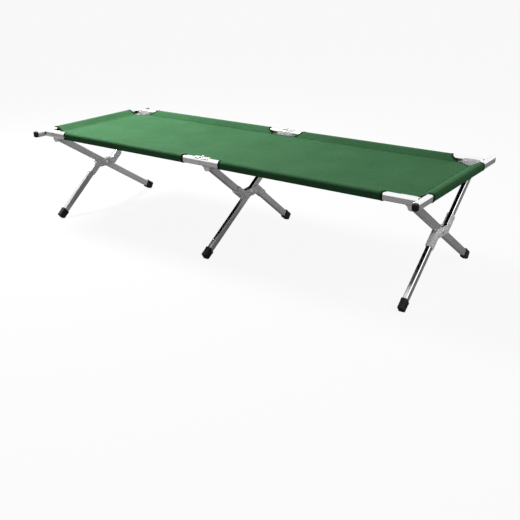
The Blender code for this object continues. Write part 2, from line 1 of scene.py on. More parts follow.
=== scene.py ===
"""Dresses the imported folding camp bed: its tubes, fittings, rubber caps, cloth, floor and lamps.

Lengths are written in millimetres of the bed's drawing, whose origin is on the floor under the
middle of the bed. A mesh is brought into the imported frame, in metres, when it becomes an object.
"""

from __future__ import annotations

import logging
import math
from dataclasses import dataclass, field
from enum import Enum
from itertools import product
from typing import Any, Iterable, Sequence

import bmesh
import bpy
from mathutils import Matrix, Vector, noise

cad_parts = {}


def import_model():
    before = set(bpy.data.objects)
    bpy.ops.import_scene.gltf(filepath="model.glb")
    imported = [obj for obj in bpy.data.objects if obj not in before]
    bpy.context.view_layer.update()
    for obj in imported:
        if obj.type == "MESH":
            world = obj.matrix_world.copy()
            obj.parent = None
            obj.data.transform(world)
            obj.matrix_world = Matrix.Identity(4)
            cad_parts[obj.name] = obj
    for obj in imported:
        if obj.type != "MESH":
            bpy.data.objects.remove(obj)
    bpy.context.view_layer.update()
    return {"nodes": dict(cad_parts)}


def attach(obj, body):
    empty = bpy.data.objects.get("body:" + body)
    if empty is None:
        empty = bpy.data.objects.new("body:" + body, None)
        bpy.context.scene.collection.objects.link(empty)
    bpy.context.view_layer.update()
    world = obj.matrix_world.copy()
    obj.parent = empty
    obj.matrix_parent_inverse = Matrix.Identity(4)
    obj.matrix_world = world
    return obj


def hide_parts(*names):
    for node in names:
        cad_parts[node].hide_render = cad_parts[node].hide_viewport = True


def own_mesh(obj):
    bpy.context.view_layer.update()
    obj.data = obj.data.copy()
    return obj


MM = 0.001
SHIFT_Y = -5.35
SEED_STEP = (31.7, -17.3, 5.1)
LOG = logging.getLogger("camp_bed")

Point = tuple[float, float]
Outline = list[Point]
Ring = list[Vector]
Spot = tuple[Vector, Vector]
Colour = tuple[float, float, float, float]
Piece = bpy.types.Object
Material = bpy.types.Material


class Named(Enum):
    """A choice whose name, in lower case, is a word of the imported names."""

    @property
    def label(self) -> str:
        """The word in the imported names."""
        return self.name.lower()


class Side(Named):
    """The two rails of the bed, by the sign of their y."""

    FRONT = -1
    REAR = 1


class Half(Named):
    """The two halves of the folding bed, by the sign of their x."""

    LEFT = -1
    RIGHT = 1


class LegSet(Named):
    """The three sets of crossed legs, by their x."""

    LEFT = -885.0
    MID = 8.0
    RIGHT = 885.0

    @property
    def half(self) -> Half:
        """The half of the bed whose rails carry the set."""
        return Half.LEFT if self is LegSet.LEFT else Half.RIGHT

    @property
    def cranked(self) -> Side:
        """The rail that the set's cranked leg comes from."""
        return Side.FRONT if self is LegSet.MID else Side.REAR


class Slot(Enum):
    """The record's material slots."""

    ALUMINIUM = "polished_aluminium"
    CAST = "dull_aluminium"
    STEEL = "zinc_steel"
    RUBBER = "black_rubber"
    CLOTH = "green_polyester"


class Pattern(Enum):
    """Where a finish reads its pattern from."""

    SOLID = "Object"
    SURFACE = "UV"


@dataclass(frozen=True)
class BedSizes:
    """The main sizes of the bed, in millimetres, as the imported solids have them."""

    rail_y: float = 304.0
    rail_z: float = 409.5
    rail_width: float = 28.0
    rail_height: float = 30.0
    rail_corner: float = 9.0
    rail_end: float = 917.0
    bar_x: float = 930.0
    bar_depth: float = 25.0
    bar_height: float = 29.0
    bar_corner: float = 8.0
    bar_front: float = -356.0
    bar_rear: float = 379.0
    pin_z: float = 380.0
    past_pin: float = 8.0
    web_gap: float = 1.4
    foot_y: float = 318.0
    foot_z: float = 9.0
    leg_depth: float = 30.0
    leg_width: float = 18.0
    crank_gap: float = 1.0
    gap: float = 0.3
    fit: float = 0.5
    plate: float = 2.5

    @property
    def rail_inner(self) -> float:
        """The inner face of a rail."""
        return self.rail_y - self.rail_width / 2

    @property
    def rail_top(self) -> float:
        """The top face of a rail."""
        return self.rail_z + self.rail_height / 2

    @property
    def yoke_outer(self) -> float:
        """The outer face of a yoke's web, just inside the hanger plate."""
        return self.rail_inner - 2 * self.gap - self.plate

    @property
    def pin_y(self) -> float:
        """The cross pin that holds the top of a leg."""
        top = math.hypot(self.leg_depth / 2, self.past_pin)
        return self.yoke_outer - self.plate - self.web_gap - top

    @property
    def hub_z(self) -> float:
        """The height of the pins where the legs cross."""
        slope = (self.pin_z - self.foot_z) / (self.pin_y + self.foot_y)
        return self.pin_z - slope * self.pin_y

    @property
    def arm(self) -> float:
        """The distance from the hub to a cross pin."""
        return math.hypot(self.pin_y, self.pin_z - self.hub_z)

    @property
    def lean(self) -> float:
        """The angle between a straight leg and the upright."""
        return math.atan2(self.pin_y, self.pin_z - self.hub_z)

    @property
    def crank(self) -> float:
        """How far a half leg's axis passes from the hub."""
        return self.leg_depth + self.crank_gap


def frame_of(origin: Sequence[float], x_axis: Sequence[float], y_axis: Sequence[float]) -> Matrix:
    """Builds a place in the drawing.

    Args:
        origin: The place's origin.
        x_axis: The way of its local x.
        y_axis: The way of its local y, square to x.

    Returns:
        The place.
    """
    x, y = Vector(x_axis).normalized(), Vector(y_axis).normalized()
    turned = Matrix((x, y, x.cross(y))).transposed().to_4x4()
    return Matrix.Translation(Vector(origin)) @ turned


def spread(start: float, end: float, steps: int) -> list[float]:
    """Lists evenly spaced values from start to end, both included."""
    return [start + (end - start) * i / steps for i in range(steps + 1)]


def neighbours(loop: Sequence[Any]) -> Iterable[tuple[Any, Any]]:
    """Pairs each item of a closed loop with the one after it."""
    return zip(loop, [*loop[1:], loop[0]])


def girth(outline: Outline) -> float:
    """Measures round a closed outline."""
    return sum(math.hypot(bx - ax, by - ay) for (ax, ay), (bx, by) in neighbours(outline))


def arc(centre: Point, radius: float, start: float, end: float, steps: int) -> Outline:
    """Lists the points of an arc between two angles, in degrees."""
    angles = [math.radians(angle) for angle in spread(start, end, steps)]
    return [(centre[0] + radius * math.cos(a), centre[1] + radius * math.sin(a)) for a in angles]


def rolled(radius: float, start: float, steps: int) -> Outline:
    """Lists (inset, local z) over a rounded edge, from its tip to the full size."""
    angles = spread(0, math.pi / 2, steps)
    return [(radius * (1 - math.sin(a)), start + radius * (1 - math.cos(a))) for a in angles]


def rectangle(x0: float, x1: float, y0: float, y1: float) -> Outline:
    """Outlines a rectangle, anticlockwise, from its limits in either order."""
    (left, right), (low, high) = sorted((x0, x1)), sorted((y0, y1))
    return [(left, low), (right, low), (right, high), (left, high)]


def rounded_box(width: float, height: float, corner: float, off: float = 0.0) -> Outline:
    """Outlines a rounded rectangle about the origin, its flats held flat by points near the arcs.

    Args:
        width: The size along local x.
        height: The size along local y.
        corner: The corners' radius.
        off: How far the whole outline is moved outwards.

    Returns:
        The closed outline, anticlockwise.
    """
    hold, steps, radius = 0.35, 6, corner + off
    points: Outline = []
    for quarter, (sx, sy) in enumerate(((1, 1), (-1, 1), (-1, -1), (1, -1))):
        centre = (sx * ((width + 2 * off) / 2 - radius), sy * ((height + 2 * off) / 2 - radius))
        run = arc(centre, radius, 90 * quarter, 90 * quarter + 90, steps)
        before, after = ((0, -sy), (-sx, 0)) if quarter % 2 == 0 else ((-sx, 0), (0, -sy))
        first, last = run[0], run[-1]
        points.append((first[0] + hold * before[0], first[1] + hold * before[1]))
        points += run
        points.append((last[0] + hold * after[0], last[1] + hold * after[1]))
    return points


def hull(points: Iterable[Point]) -> Outline:
    """Finds the convex outline round some points.

    Args:
        points: The points, in any order.

    Returns:
        The outline, anticlockwise.
    """
    ordered = sorted(set(points))
    outline: Outline = []
    for run in (ordered, ordered[::-1]):
        side: Outline = []
        for x, y in run:
            while len(side) > 1:
                (ax, ay), (bx, by) = side[-2:]
                if (bx - ax) * (y - ay) - (by - ay) * (x - ax) > 0:
                    break
                side.pop()
            side.append((x, y))
        outline += side[:-1]
    return outline


def resampled(outline: Outline, count: int, start: int) -> Outline:
    """Spaces points evenly round a closed outline.

    Args:
        outline: The closed outline.
        count: How many points to give back.
        start: The index of the point to begin from.

    Returns:
        The evenly spaced points.
    """
    loop = [*outline[start:], *outline[: start + 1]]
    lengths = [0.0]
    for (ax, ay), (bx, by) in zip(loop, loop[1:]):
        lengths.append(lengths[-1] + math.hypot(bx - ax, by - ay))
    spaced: Outline = []
    span = 0
    for i in range(count):
        want = lengths[-1] * i / count
        while lengths[span + 1] < want:
            span += 1
        part = (want - lengths[span]) / max(lengths[span + 1] - lengths[span], 1e-9)
        (ax, ay), (bx, by) = loop[span], loop[span + 1]
        spaced.append((ax + (bx - ax) * part, ay + (by - ay) * part))
    return spaced


def inset(outline: Outline, depth: float) -> Outline:
    """Moves the edges of an anticlockwise outline inwards.

    Args:
        outline: The closed outline.
        depth: How far each edge moves in.

    Returns:
        The moved outline, with the same number of points.
    """
    sharpest = 0.6
    moved: Outline = []
    for i, (x, y) in enumerate(outline):
        (ax, ay), (bx, by) = outline[i - 1], outline[(i + 1) % len(outline)]
        out = Vector((y - ay, ax - x)).normalized() + Vector((by - y, x - bx)).normalized()
        scale = 2 / max(out.length_squared, sharpest)
        moved.append((x - out.x * depth * scale, y - out.y * depth * scale))
    return moved


def filleted(corners: Outline, radius: float) -> Outline:
    """Rounds the corners of a polygon.

    Args:
        corners: The polygon's corners.
        radius: The radius of each rounding.

    Returns:
        The outline with its corners rounded.
    """
    steps = 5
    points: Outline = []
    for i, corner in enumerate(corners):
        here = Vector(corner)
        to_last = (Vector(corners[i - 1]) - here).normalized()
        to_next = (Vector(corners[(i + 1) % len(corners)]) - here).normalized()
        half_angle = to_last.angle(to_next) / 2
        reach = radius / math.tan(half_angle)
        start, end = here + to_last * reach, here + to_next * reach
        centre = here + (to_last + to_next).normalized() * radius / math.sin(half_angle)
        for share in spread(0, 1, steps):
            ray = (start - centre).lerp(end - centre, share).normalized() * radius
            points.append(tuple(centre + ray))
    return points


def smooth(value: float) -> float:
    """Eases a value from 0 to 1."""
    value = min(max(value, 0.0), 1.0)
    return value * value * (3 - 2 * value)


def ripple(x: float, y: float, z: float, seed: float) -> float:
    """Reads a smooth noise from -1 to 1 at a point, the same on each run."""
    step_x, step_y, step_z = (seed * step for step in SEED_STEP)
    return noise.noise(Vector((x + step_x, y + step_y, z + step_z)))


def ring_at(outline: Outline, z: float, place: Matrix) -> Ring:
    """Places an outline at a local z."""
    return [place @ Vector((x, y, z)) for x, y in outline]


def layers(outline: Outline, depths: Outline, place: Matrix) -> list[Ring]:
    """Places an outline at each (inset, local z)."""
    return [ring_at(inset(outline, depth), z, place) for depth, z in depths]


def packed(point: Vector) -> Vector:
    """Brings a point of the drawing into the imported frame, in metres."""
    return Vector((point.x, point.y + SHIFT_Y, point.z)) * MM


def linked(name: str, data: bpy.types.ID) -> Piece:
    """Makes an object and links it to the scene.

    Args:
        name: The object's name.
        data: Its mesh, lamp or camera.

    Returns:
        The object.
    """
    obj = bpy.data.objects.new(name, data)
    bpy.context.scene.collection.objects.link(obj)
    return obj


def baked(obj: Piece) -> Piece:
    """Makes an object's modifiers final.

    Args:
        obj: The object, which keeps its name and materials.

    Returns:
        The same object with a plain mesh and no modifiers.
    """
    bpy.context.view_layer.update()
    graph = bpy.context.evaluated_depsgraph_get()
    mesh = bpy.data.meshes.new_from_object(obj.evaluated_get(graph))
    obj.modifiers.clear()
    obj.data = mesh
    return obj


class Solid:
    """A mesh under construction, in millimetres of the drawing, with a UV map in metres."""

    weld: float = 1e-4
    edge_steps: int = 3
    turns: int = 28

    def __init__(self) -> None:
        """Starts an empty mesh."""
        self.mesh = bmesh.new()
        self.layer = self.mesh.loops.layers.uv.new("surface")

    def _face(self, verts: list[bmesh.types.BMVert], uvs: list[Point]) -> None:
        """Adds one face with its UV places in millimetres, leaving out doubled corners.

        Args:
            verts: The face's corners.
            uvs: Each corner's UV place.
        """
        kept = [(v, uv) for i, (v, uv) in enumerate(zip(verts, uvs)) if v is not verts[i - 1]]
        if len(kept) < 3:
            return
        face = self.mesh.faces.new([v for v, _ in kept])
        for loop, (_, uv) in zip(face.loops, kept):
            loop[self.layer].uv = (uv[0] * MM, uv[1] * MM)

    def loft(self, rings: Sequence[Ring], closed: bool = False) -> None:
        """Skins closed rings of equal count, one after another.

        Args:
            rings: The rings.
            closed: Whether the last ring joins the first. If not, both ends are capped.
        """
        longest = max(rings, key=lambda r: sum((a - b).length for a, b in zip(r, r[1:])))
        around, along = [0.0], [0.0]
        for a, b in neighbours(longest):
            around.append(around[-1] + (b - a).length)
        made = [[self.mesh.verts.new(p) for p in ring] for ring in rings]
        if closed:
            rings, made = [*rings, rings[0]], [*made, made[0]]
        for ring, after in zip(rings, rings[1:]):
            along.append(along[-1] + (after[0] - ring[0]).length)
        for i, (ring, after) in enumerate(zip(made, made[1:])):
            for j in range(len(ring)):
                k = (j + 1) % len(ring)
                uvs = rectangle(along[i], along[i + 1], around[j], around[j + 1])
                self._face([ring[j], after[j], after[k], ring[k]], uvs)
        for ring in () if closed else (made[0], made[-1]):
            centre = sum((v.co for v in ring), Vector()) / len(ring)
            across = (ring[0].co - centre).normalized()
            up = across.cross(ring[len(ring) // 3].co - centre).normalized().cross(across)
            rays = [v.co - centre for v in ring]
            self._face(ring, [(ray.dot(across), ray.dot(up)) for ray in rays])

    def grid(self, rows: Sequence[Ring]) -> None:
        """Skins an open grid of points, whose x and y are its UV places too.

        Args:
            rows: The rows of points.
        """
        made = [[self.mesh.verts.new(p) for p in row] for row in rows]
        for i, j in product(range(len(made) - 1), range(len(made[0]) - 1)):
            spots = ((i, j), (i + 1, j), (i + 1, j + 1), (i, j + 1))
            uvs = [(rows[a][b].x, rows[a][b].y) for a, b in spots]
            self._face([made[a][b] for a, b in spots], uvs)

    def tube(
        self, size: Sequence[float], wall: float, span: Point, place: Matrix, edge: float
    ) -> None:
        """Extrudes a hollow rounded box along local z.

        Args:
            size: The box's width, height and corner.
            wall: The tube's wall.
            span: The first and the last local z.
            place: The tube's place.
            edge: The width of the broken edges at both ends.
        """
        outer, inner = rounded_box(*size), rounded_box(*size, -wall)
        slim, (start, end) = inset(outer, edge), span
        stations = [(slim, start), (outer, start + edge), (outer, end - edge), (slim, end)]
        stations += [(inner, end), (inner, start)]
        self.loft([ring_at(outline, z, place) for outline, z in stations], closed=True)

    def plate(
        self, outline: Outline, start: float, end: float, place: Matrix, edge: float
    ) -> None:
        """Extrudes a full outline along local z.

        Args:
            outline: The plate's outline, anticlockwise.
            start: The first local z.
            end: The last local z.
            place: The plate's place.
            edge: The radius of the rolled edges.
        """
        low = rolled(edge, start, self.edge_steps)
        high = [(depth, start + end - z) for depth, z in reversed(low)]
        self.loft(layers(outline, low + high, place))

    def lathe(self, profile: Outline, place: Matrix) -> None:
        """Turns a profile of (radius, local z) points round local z.

        Args:
            profile: The points from one end to the other.
            place: The turned piece's place.
        """
        angles = spread(0, 2 * math.pi, self.turns)[:-1]
        circles = [[(r * math.cos(a), r * math.sin(a)) for a in angles] for r, _ in profile]
        self.loft([ring_at(circle, z, place) for circle, (_, z) in zip(circles, profile)])

    def cut_below(self, height: float) -> None:
        """Cuts the mesh off at a height and closes the flat that this leaves.

        Args:
            height: The height of the cut.
        """
        geometry = [*self.mesh.verts, *self.mesh.edges, *self.mesh.faces]
        result = bmesh.ops.bisect_plane(
            self.mesh,
            geom=geometry,
            dist=self.weld,
            plane_co=(0, 0, height),
            plane_no=(0, 0, 1),
            clear_inner=True,
        )
        rim = [g for g in result["geom_cut"] if isinstance(g, bmesh.types.BMEdge)]
        bmesh.ops.edgeloop_fill(self.mesh, edges=rim)

    def finish(self, name: str, angle: float) -> Piece:
        """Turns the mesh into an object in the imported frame.

        Args:
            name: The object's name.
            angle: Edges sharper than this, in degrees, stay crisp.

        Returns:
            The new object, linked to the scene.
        """
        bmesh.ops.remove_doubles(self.mesh, verts=self.mesh.verts, dist=self.weld)
        bmesh.ops.recalc_face_normals(self.mesh, faces=self.mesh.faces)
        for vert in self.mesh.verts:
            vert.co = packed(vert.co)
        data = bpy.data.meshes.new(name)
        self.mesh.to_mesh(data)
        self.mesh.free()
        data.shade_smooth()
        data.set_sharp_from_angle(angle=math.radians(angle))
        return linked(name, data)


def pick(sockets: Any, key: str | int) -> bpy.types.NodeSocket:
    """Finds a socket of a node.

    Args:
        sockets: The node's inputs or outputs.
        key: The socket's number, or its name among those in use.

    Returns:
        The socket.
    """
    if isinstance(key, int):
        return sockets[key]
    return next(s for s in sockets if s.name == key and s.enabled)


class Wire:
    """A node's output that takes part in Python arithmetic, one Math node for each step."""

    def __init__(self, graph: Graph, socket: bpy.types.NodeSocket | None) -> None:
        """Wraps an output of a graph's node."""
        self.graph = graph
        self.socket = socket

    def beside(self, name: str) -> Wire:
        """Wraps another output of the same node."""
        return Wire(self.graph, pick(self.socket.node.outputs, name))

    def math(self, operation: str, *others: float | Wire, swapped: bool = False) -> Wire:
        """Adds a Math node, with this wire first, or last if swapped."""
        values = [*others, self] if swapped else [self, *others]
        return self.graph.node("ShaderNodeMath", dict(enumerate(values)), operation=operation)

    def __add__(self, other: float | Wire) -> Wire:
        """Adds the other."""
        return self.math("ADD", other)

    __radd__ = __add__

    def __sub__(self, other: float | Wire) -> Wire:
        """Subtracts the other."""
        return self.math("SUBTRACT", other)

    def __rsub__(self, other: float | Wire) -> Wire:
        """Is subtracted from the other."""
        return self.math("SUBTRACT", other, swapped=True)

    def __mul__(self, other: float | Wire) -> Wire:
        """Multiplies by the other."""
        return self.math("MULTIPLY", other)

    __rmul__ = __mul__

    def __truediv__(self, other: float | Wire) -> Wire:
        """Divides by the other."""
        return self.math("DIVIDE", other)

    def __rtruediv__(self, other: float | Wire) -> Wire:
        """Divides the other."""
        return self.math("DIVIDE", other, swapped=True)

    def __abs__(self) -> Wire:
        """Drops the sign."""
        return self.math("ABSOLUTE")


class Graph:
    """A node tree that is written as Python expressions."""

    def __init__(self, tree: bpy.types.NodeTree) -> None:
        """Takes a tree and empties it."""
        self.tree = tree
        tree.nodes.clear()

    def node(
        self, kind: str, inputs: dict[Any, Any] | None = None, out: str | int = 0, **settings: Any
    ) -> Wire:
        """Adds a node.

        Args:
            kind: The node's type.
            inputs: The value or link of each socket, by name or by number.
            out: The output to give back, by name or by number.
            settings: The node's settings, which are set before its sockets.

        Returns:
            The output, or an empty wire where the node ends its tree.
        """
        node = self.tree.nodes.new(kind)
        for name, value in settings.items():
            setattr(node, name, value)
        for key, value in (inputs or {}).items():
            if isinstance(value, Wire):
                self.tree.links.new(value.socket, pick(node.inputs, key))
            else:
                pick(node.inputs, key).default_value = value
        return Wire(self, pick(node.outputs, out) if len(node.outputs) else None)

    def range(
        self, value: Wire, low: float | Wire, high: float | Wire, soft: bool = False
    ) -> Wire:
        """Maps a value to 0..1, clamped.

        Args:
            value: The value.
            low: What becomes 0.
            high: What becomes 1.
            soft: Whether both ends are eased.

        Returns:
            The mapped value.
        """
        inputs = {"Value": value, "From Min": low, "From Max": high}
        kind = "SMOOTHSTEP" if soft else "LINEAR"
        return self.node("ShaderNodeMapRange", inputs, "Result", interpolation_type=kind)

    def noise(
        self, where: Wire, scale: float, detail: float = 2.0, roughness: float = 0.55
    ) -> Wire:
        """Reads a noise of 0 to 1 at a place."""
        inputs = {"Vector": where, "Scale": scale, "Detail": detail, "Roughness": roughness}
        return self.node("ShaderNodeTexNoise", inputs, noise_dimensions="3D")


class Shade(Graph):
    """The node tree of one material."""

    def __init__(self, name: str) -> None:
        """Makes the material, empty of nodes.

        Args:
            name: The material's name.
        """
        self.material = bpy.data.materials.new(name)
        self.material.use_nodes = True
        super().__init__(self.material.node_tree)

    def place(self, pattern: Pattern, x: float = 1, y: float = 1) -> Wire:
        """Reads where a point lies.

        Args:
            pattern: Whether it is read in the solid or on the surface.
            x: The scale of its x.
            y: The scale of its y.

        Returns:
            The place, in metres times the scale.
        """
        source = self.node("ShaderNodeTexCoord", out=pattern.value)
        inputs = {"Vector": source, "Scale": (x, y, 1)}
        return self.node("ShaderNodeMapping", inputs, vector_type="POINT")

    def mix(self, factor: float | Wire, first: Colour | Wire, second: Colour | Wire) -> Wire:
        """Blends two colours, by the share of the second."""
        inputs = {"Factor": factor, "A": first, "B": second}
        return self.node("ShaderNodeMix", inputs, "Result", data_type="RGBA", clamp_factor=True)

    def surface(self, height: Wire, depth: float, inputs: dict[str, Any]) -> Material:
        """Ends the tree in a Principled shader with a bump.

        Args:
            height: The bump's height, about 0 to 1.
            depth: What a height of 1 is in metres.
            inputs: The Principled sockets.

        Returns:
            The finished material.
        """
        bump = self.node("ShaderNodeBump", {"Height": height, "Distance": depth})
        shader = self.node("ShaderNodeBsdfPrincipled", {**inputs, "Normal": bump})
        self.node("ShaderNodeOutputMaterial", {"Surface": shader})
        return self.material


def grey(level: float) -> Colour:
    """Gives a neutral colour."""
    return (level, level, level, 1.0)


def weighed(first: Wire, second: Wire, shares: Point) -> Wire:
    """Adds two wires, each times its share."""
    return first * shares[0] + second * shares[1]


@dataclass(frozen=True)
class DrawnMetal:
    """Bright drawn aluminium: lines along the tube, faint clouding and fine scratches."""

    name: str
    slot: Slot = Slot.ALUMINIUM
    colour: Colour = (0.95, 0.95, 0.95, 1.0)
    clouded: Colour = (0.86, 0.86, 0.87, 1.0)
    roughness: float = 0.17
    lines: Point = (5.0, 900.0)
    scratches: Point = (60.0, 420.0)
    clouds: float = 14.0
    worn_band: Point = (0.42, 0.72)
    tint: Point = (0.7, 0.3)
    worn_rough: float = 0.12
    line_rough: float = 0.1
    relief: Point = (0.7, 0.3)
    depth: float = 0.000005

    def build(self) -> Material:
        """Makes the material.

        Returns:
            The material.
        """
        shade = Shade(self.name)
        drawn = shade.noise(shade.place(Pattern.SURFACE, *self.lines), 1.0, detail=3.0)
        scratch = shade.noise(shade.place(Pattern.SURFACE, *self.scratches), 1.0, detail=1.0)
        cloud = shade.noise(shade.place(Pattern.SOLID), self.clouds, detail=4.0)
        worn = shade.range(cloud, *self.worn_band, soft=True)
        base = shade.mix(weighed(worn, drawn, self.tint), self.colour, self.clouded)
        rough = self.roughness + worn * self.worn_rough + (drawn - 0.5) * self.line_rough
        inputs = {"Base Color": base, "Metallic": 1.0, "Roughness": rough}
        return shade.surface(weighed(drawn, scratch, self.relief), self.depth, inputs)


@dataclass(frozen=True)
class PressedMetal:
    """Dull pressed or cast fittings: an even, slightly pitted grey."""

    name: str
    slot: Slot = Slot.CAST
    colour: Colour = (0.80, 0.80, 0.81, 1.0)
    stained: Colour = (0.68, 0.68, 0.69, 1.0)
    roughness: float = 0.68
    metallic: float = 0.95
    clouds: float = 45.0
    pits: float = 700.0
    stain_band: Point = (0.4, 0.75)
    tint: Point = (0.8, 0.15)
    cloud_rough: float = 0.2
    pit_rough: float = 0.12
    cloud_relief: float = 0.5
    depth: float = 0.000015

    def build(self) -> Material:
        """Makes the material.

        Returns:
            The material.
        """
        shade = Shade(self.name)
        where = shade.place(Pattern.SOLID)
        cloud = shade.noise(where, self.clouds, detail=4.0)
        pit = shade.noise(where, self.pits)
        stain = shade.range(cloud, *self.stain_band, soft=True)
        base = shade.mix(weighed(stain, pit, self.tint), self.colour, self.stained)
        rough = (cloud - 0.5) * self.cloud_rough + (pit - 0.5) * self.pit_rough
        rough = self.roughness + rough
        inputs = {"Base Color": base, "Metallic": self.metallic, "Roughness": rough}
        return shade.surface(pit + cloud * self.cloud_relief, self.depth, inputs)


@dataclass(frozen=True)
class MouldedRubber:
    """Black moulded rubber with a fine grain, lighter where it looks up: dust and a painted sheen.
    """

    name: str
    slot: Slot = Slot.RUBBER
    colour: Colour = (0.010, 0.010, 0.011, 1.0)
    # The colour of dust and of a painted sheen on the faces that look up.
    dust: Colour = (0.08, 0.078, 0.075, 1.0)
    roughness: float = 0.5
    gloss: float = 0.25
    grain: float = 1400.0
    patches: float = 60.0
    dust_shares: Point = (0.7, 0.6)
    dust_band: Point = (0.45, 1.15)
    dust_tint: float = 0.75
    dust_rough: float = 0.3
    grain_rough: float = 0.15
    depth: float = 0.00008

    def build(self) -> Material:
        """Makes the material.

        Returns:
            The material.
        """
        shade = Shade(self.name)
        where = shade.place(Pattern.SOLID)
        grain = shade.noise(where, self.grain)
        patch = shade.noise(where, self.patches, detail=4.0)
        # How much a point looks up: dust and a painted sheen lighten the rubber there.
        up = shade.node("ShaderNodeAttribute", out="Fac", attribute_name="dust")
        dust_and_sheen_spread = weighed(up, patch, self.dust_shares)
        dust_and_sheen_mask = shade.range(dust_and_sheen_spread, *self.dust_band, soft=True)
        base = shade.mix(dust_and_sheen_mask * self.dust_tint, self.colour, self.dust)
        rough = self.roughness + dust_and_sheen_mask * self.dust_rough + (grain - 0.5) * self.grain_rough
        inputs = {"Base Color": base, "Roughness": rough, "Specular IOR Level": self.gloss}
        return shade.surface(grain, self.depth, inputs)


@dataclass(frozen=True)
class WovenCloth:
    """Coated polyester cloth: a plain weave, slubs along the threads and uneven dye."""

    name: str
    slot: Slot = Slot.CLOTH
    colour: Colour = (0.048, 0.151, 0.062, 1.0)
    pale: Colour = (0.064, 0.185, 0.080, 1.0)
    deep: Colour = (0.027, 0.105, 0.037, 1.0)
    thread: float = 0.0011
    slubs: Point = (25.0, 700.0)
    dye: float = 5.0
    specks: float = 90.0
    dye_shares: Point = (0.6, 0.4)
    dye_band: Point = (0.36, 0.64)
    slub_band: Point = (0.5, 0.7)
    shadow: Point = (0.5, 0.18)
    slub_rough: float = 0.25
    weave_rough: float = 0.05
    relief: Point = (0.6, 0.4)
    roughness: float = 0.72
    sheen: float = 0.0
    gloss: float = 0.05
    depth: float = 0.00012

    def build(self) -> Material:
        """Makes the material.

        Returns:
            The material.
        """
        shade = Shade(self.name)
        parts = shade.node("ShaderNodeSeparateXYZ", {"Vector": shade.place(Pattern.SURFACE)})
        turn = 2 * math.pi / self.thread
        warp, weft = ((wire * turn).math("SINE") for wire in (parts, parts.beside("Y")))
        weave = warp * weft * 0.5 + 0.5
        along, across = (
            shade.noise(shade.place(Pattern.SURFACE, *scale), 1.0) * 0.5
            for scale in (self.slubs, self.slubs[::-1])
        )
        slub = along + across
        where = shade.place(Pattern.SOLID)
        dye = shade.noise(where, self.dye, detail=3.0)
        speck = shade.noise(where, self.specks, detail=3.0)
        dyed = weighed(dye, speck, self.dye_shares)
        base = shade.mix(shade.range(dyed, *self.dye_band, soft=True), self.colour, self.pale)
        shadow = weighed(shade.range(slub, *self.slub_band), weave, self.shadow)
        inputs = {
            "Base Color": shade.mix(shadow, base, self.deep),
            "Roughness": self.roughness + (slub - 0.5) * self.slub_rough + weave * self.weave_rough,
            "Sheen Weight": self.sheen,
            "Sheen Roughness": 0.45,
            "Sheen Tint": (0.75, 0.95, 0.75, 1.0),
            "Specular IOR Level": self.gloss,
        }
        return shade.surface(weighed(weave, slub, self.relief), self.depth, inputs)


@dataclass(frozen=True)
class Thread:
    """Twisted sewing thread."""

    name: str
    slot: Slot = Slot.CLOTH
    colour: Colour = (0.10, 0.24, 0.11, 1.0)
    shadow: Colour = (0.035, 0.10, 0.04, 1.0)
    twist: float = 900.0
    roughness: float = 0.55
    twist_rough: float = 0.2
    depth: float = 0.0001

    def build(self) -> Material:
        """Makes the material.

        Returns:
            The material.
        """
        shade = Shade(self.name)
        twist = shade.noise(shade.place(Pattern.SOLID), self.twist)
        base = shade.mix(twist, self.colour, self.shadow)
        inputs = {"Base Color": base, "Roughness": self.roughness + twist * self.twist_rough}
        return shade.surface(twist, self.depth, inputs)


FINISHES = (
    DrawnMetal("bright_tube"),
    # The legs: a darker copy of the rails' drawn aluminium, painted shade for the darker
    # reflections the legs show.
    DrawnMetal(
        "satin_leg",
        colour=(0.80, 0.80, 0.81, 1.0),
        clouded=(0.66, 0.66, 0.67, 1.0),
        roughness=0.16,
    ),
    PressedMetal("dull_fitting"),
    PressedMetal(
        "zinc_plate",
        slot=Slot.STEEL,
        colour=(0.90, 0.90, 0.89, 1.0),
        stained=(0.78, 0.78, 0.77, 1.0),
        roughness=0.24,
        metallic=1.0,
    ),
    MouldedRubber("black_rubber_cap"),
    WovenCloth("green_cloth"),
    # The deck's underside: a near-black copy of the green cloth, painted shade where the underside
    # lies in shadow.
    WovenCloth(
        "dark_coated_back",
        colour=(0.010, 0.022, 0.012, 1.0),
        pale=(0.014, 0.030, 0.017, 1.0),
        deep=(0.006, 0.014, 0.008, 1.0),
        roughness=0.5,
    ),
    # The binding tapes: a much darker green that paints the shade of the cloth's rolled edges.
    WovenCloth(
        "green_tape",
        colour=(0.010, 0.034, 0.013, 1.0),
        pale=(0.015, 0.046, 0.018, 1.0),
        deep=(0.006, 0.020, 0.008, 1.0),
        thread=0.0016,
        sheen=0.02,
    ),
    # The welt along each hem's seam: a paler green, a painted highlight where the crease catches
    # the light.
    WovenCloth(
        "pale_welt",
        colour=(0.105, 0.290, 0.125, 1.0),
        pale=(0.135, 0.340, 0.160, 1.0),
        deep=(0.070, 0.210, 0.085, 1.0),
        thread=0.0016,
    ),
    Thread("green_thread"),
)


